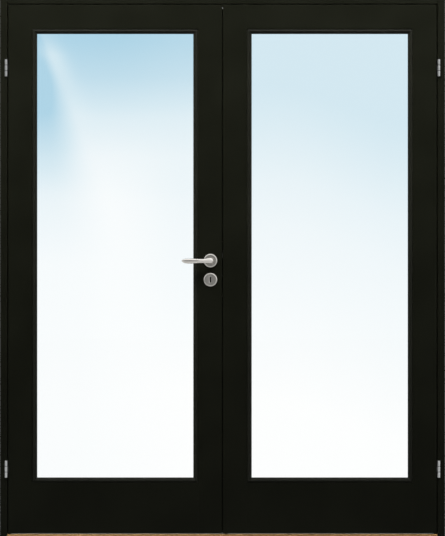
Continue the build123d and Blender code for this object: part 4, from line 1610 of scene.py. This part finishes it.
@dataclass(frozen=True)
class SkyScreen:
    """The screen behind the doors: blue above through the panes, and white below and beside the doors.

    The stops say how blue it is at a height from 0 at the foot of the panes to 1 at their top, or how
    much blue the pale ray takes there and the wedge beside it and the veil add.
    """

    camera: Camera
    y: float = 7.0
    half_width: float = 14.0
    height: float = 12.0
    strength: float = 1.09
    white: Triple = tone(251, 251, 251)
    pale: Triple = tone(210, 229, 238)
    deep: Triple = tone(169, 207, 226)
    glass_back: float = 0.02
    pane_ends: Pair = (0.23, 1.95)
    left_stops: Stops = ((0.17, 0.0), (0.62, 0.08), (0.72, 0.19), (0.81, 0.41), (0.9, 0.80), (0.98, 1.0))
    right_stops: Stops = ((0.17, 0.01), (0.37, 0.10), (0.56, 0.19), (0.67, 0.28), (0.81, 0.46), (0.88, 0.54))
    ray_stops: Stops = ((0.79, 0.0), (0.865, 0.09), (0.95, 0.37), (0.99, 0.12))
    wedge_stops: Stops = ((0.48, 0.05), (0.64, 0.19), (0.74, 0.43), (0.82, 0.57), (0.88, 0.44), (0.96, 0.13))
    veil_stops: Stops = ((0.20, 0.0), (0.42, 0.07), (0.54, 0.09), (0.64, 0.13), (0.75, 0.06), (0.85, 0.0))
    ray_foot: Pair = (-0.666, 1.884)
    ray_lean: float = 0.45
    ray_width: float = 0.05
    wedge_ends: Pair = (-0.02, -0.40)
    wedge_room: float = 0.05
    veil_ends: Pair = (-0.46, -0.12)
    fade_ends: Pair = (-0.45, -0.1)
    fade_to: float = 0.90
    later_ends: Pair = (0.2, 0.75)
    later_by: float = 0.09
    meeting_ends: Pair = (-0.05, 0.05)

    def left_sky(self, sheet: Sheet, at: Sockets, rise: Socket) -> Socket:
        """How blue it is behind the left leaf.

        The blue is deep at the top and fades below. A pale ray slants through it: it goes by how far a
        point is from the ray's line, by the bell curve. Left of that line the blue stays longer, in a
        wedge that widens downwards, and towards the meeting edge there is a faint veil of it.

        Args:
            sheet: The screen's sheet.
            at: The point in the plane of the doors.
            rise: How far up the pane it is, from 0 to 1.

        Returns:
            The share of blue.
        """
        foot_x, foot_z = self.ray_foot
        below = sheet.math("SUBTRACT", foot_z, at["Z"])
        beyond = sheet.math("ADD", at["X"], -foot_x)
        slant = sheet.math("MULTIPLY_ADD", below, -self.ray_lean, beyond)
        bell = sheet.math("POWER", sheet.math("DIVIDE", slant, self.ray_width), 2.0)
        bell = sheet.math("EXPONENT", sheet.math("MULTIPLY", bell, -1.0))
        ray = sheet.math("MULTIPLY", bell, sheet.ramp(rise, self.ray_stops))
        room = sheet.math("SUBTRACT", self.pane_ends[1], at["Z"])
        room = sheet.math("MAXIMUM", room, self.wedge_room)
        beside = sheet.spread(sheet.math("DIVIDE", slant, room), *self.wedge_ends)
        wedge = sheet.math("MULTIPLY", beside, sheet.ramp(rise, self.wedge_stops))
        inward = sheet.spread(at["X"], *self.veil_ends)
        veil = sheet.math("MULTIPLY", inward, sheet.ramp(rise, self.veil_stops))
        blue = sheet.math("SUBTRACT", sheet.ramp(rise, self.left_stops), ray)
        blue = sheet.math("MULTIPLY", blue, sheet.spread(at["X"], *self.fade_ends, 1.0, self.fade_to))
        return sheet.math("ADD", blue, sheet.math("ADD", wedge, veil))

    def right_sky(self, sheet: Sheet, at: Sockets, rise: Socket) -> Socket:
        """How blue it is behind the right leaf: paler, fading more slowly and later to the right."""
        later = sheet.spread(at["X"], *self.later_ends, 0.0, self.later_by)
        return sheet.ramp(sheet.math("ADD", rise, later), self.right_stops)

    def shader(self, sheet: Sheet) -> Socket:
        """Lays the screen's nodes: blue through the panes, white beside them, and clear from behind.

        A point of the screen is brought to the plane of the doors first, along its line to the eye.

        Args:
            sheet: The material's sheet.

        Returns:
            The screen's shader.
        """
        to_glass = self.camera.distance + self.glass_back
        nearer = to_glass / (to_glass + self.y - self.camera.door_face)
        lift = self.camera.height * (1 - nearer)
        inputs = {"Vector": sheet.place(), "Location": (0, 0, lift), "Scale": (nearer, 1, nearer)}
        at = sheet.parts(sheet.add("Mapping", inputs).outputs[0])
        low, high = self.pane_ends
        rise = sheet.add("MapRange", {"Value": at["Z"], "From Min": low, "From Max": high}).outputs[0]
        right = sheet.spread(at["X"], *self.meeting_ends)
        left = sheet.math("SUBTRACT", 1.0, right)
        left_blue = sheet.math("MULTIPLY", self.left_sky(sheet, at, rise), left)
        right_blue = sheet.math("MULTIPLY", self.right_sky(sheet, at, rise), right)
        stops = [(0.0, self.white), (0.5, self.pale), (1.0, self.deep)]
        colour = sheet.ramp(sheet.math("ADD", left_blue, right_blue), stops)
        colour = sheet.mix(sheet.add("LightPath").outputs["Is Camera Ray"], colour, self.white)
        glow = sheet.add("Emission", {"Color": colour, "Strength": self.strength})
        behind = sheet.add("NewGeometry").outputs["Backfacing"]
        return sheet.blend(behind, glow, sheet.add("BsdfTransparent"))

    def build(self) -> None:
        """Sets the screen up behind the doors."""
        wide, y, high = self.half_width, self.y, self.height
        corners = [(-wide, y, 0.0), (wide, y, 0.0), (wide, y, high), (-wide, y, high)]
        stage_sheet("sky_screen", corners, new_material("sky_screen", self.shader))


@dataclass(frozen=True)
class RoomLight:
    """Soft light from all round, dimmer from the camera's side and brighter from above in gloss."""

    colour: tuple[float, ...] = (0.985, 0.99, 1.0, 1.0)
    dim_side: Triple = (-0.22, -0.972, -0.08)
    dim_ends: Pair = (0.82, 0.97)
    dim_share: float = 0.13
    above_ends: Pair = (0.1, 0.8)
    above_gains: Pair = (0.95, 1.4)
    soft_share: float = 0.24
    seen_share: float = 0.9

    def build(self) -> None:
        """Lays the world's nodes."""
        world = bpy.data.worlds.new("studio_light")
        world.use_nodes = True
        world.node_tree.nodes.clear()
        sheet = Sheet(world.node_tree)
        direction = sheet.add("TexCoord").outputs["Generated"]
        path = sheet.add("LightPath").outputs
        facing = sheet.vector("DOT_PRODUCT", direction, self.dim_side)
        sides = sheet.spread(facing, *self.dim_ends, 1.0, self.dim_share)
        above = sheet.spread(sheet.parts(direction)["Z"], *self.above_ends, *self.above_gains)
        soft = sheet.math("MULTIPLY", sides, self.soft_share)
        mirrored = sheet.math("MULTIPLY", sheet.math("MULTIPLY", sides, above), sheet.mirrored(path))
        seen = sheet.math("MULTIPLY", sheet.looked_at(path), self.seen_share)
        strength = sheet.math("MAXIMUM", sheet.math("MAXIMUM", soft, mirrored), seen)
        light = sheet.add("Background", {"Color": self.colour, "Strength": strength})
        sheet.add("OutputWorld", {0: light.outputs[0]})
        bpy.context.scene.world = world


@dataclass(frozen=True)
class Studio:
    """Camera, floor, sky screen, lamps and the light all round."""

    camera: Camera = Camera()
    lamps: tuple[SoftBox, ...] = (
        SoftBox("top_softbox", place=(0.0, -2.2, 4.0), aim=(0.0, -0.05, 2.2), size=(5.0, 1.2),
                watts=74.0, spread=66.0, mirrored=False),
        SoftBox("left_softbox", place=(-5.5, -3.0, 2.4), aim=(0.0, -0.05, 1.1), size=(2.0, 4.0),
                watts=110.0, mirrored=False),
        SoftBox("right_softbox", place=(5.5, -3.0, 2.4), aim=(0.0, -0.05, 1.1), size=(2.0, 4.0), watts=27.0),
    )

    def build(self) -> None:
        """Sets up the studio."""
        for part in (self.camera, Floor(), SkyScreen(self.camera), *self.lamps, RoomLight()):
            part.build()
        bpy.context.scene.view_settings.view_transform = "Standard"
        log.info("studio: camera, floor, screen and %d lamps", len(self.lamps))


def main() -> None:
    """Builds the studio and the pieces in order."""
    logging.basicConfig(level=logging.INFO, format="%(name)s: %(message)s")
    beads = [Beads(leaf, face) for leaf in ("active", "inactive") for face in Face]
    fittings = [Hinges(), Furniture(), LockLevers(), LatchSpring(), PlateScrews()]
    for part in (Studio(), NodeDressing(), *beads, *fittings):
        part.build()


if __name__ == "__main__":
    main()
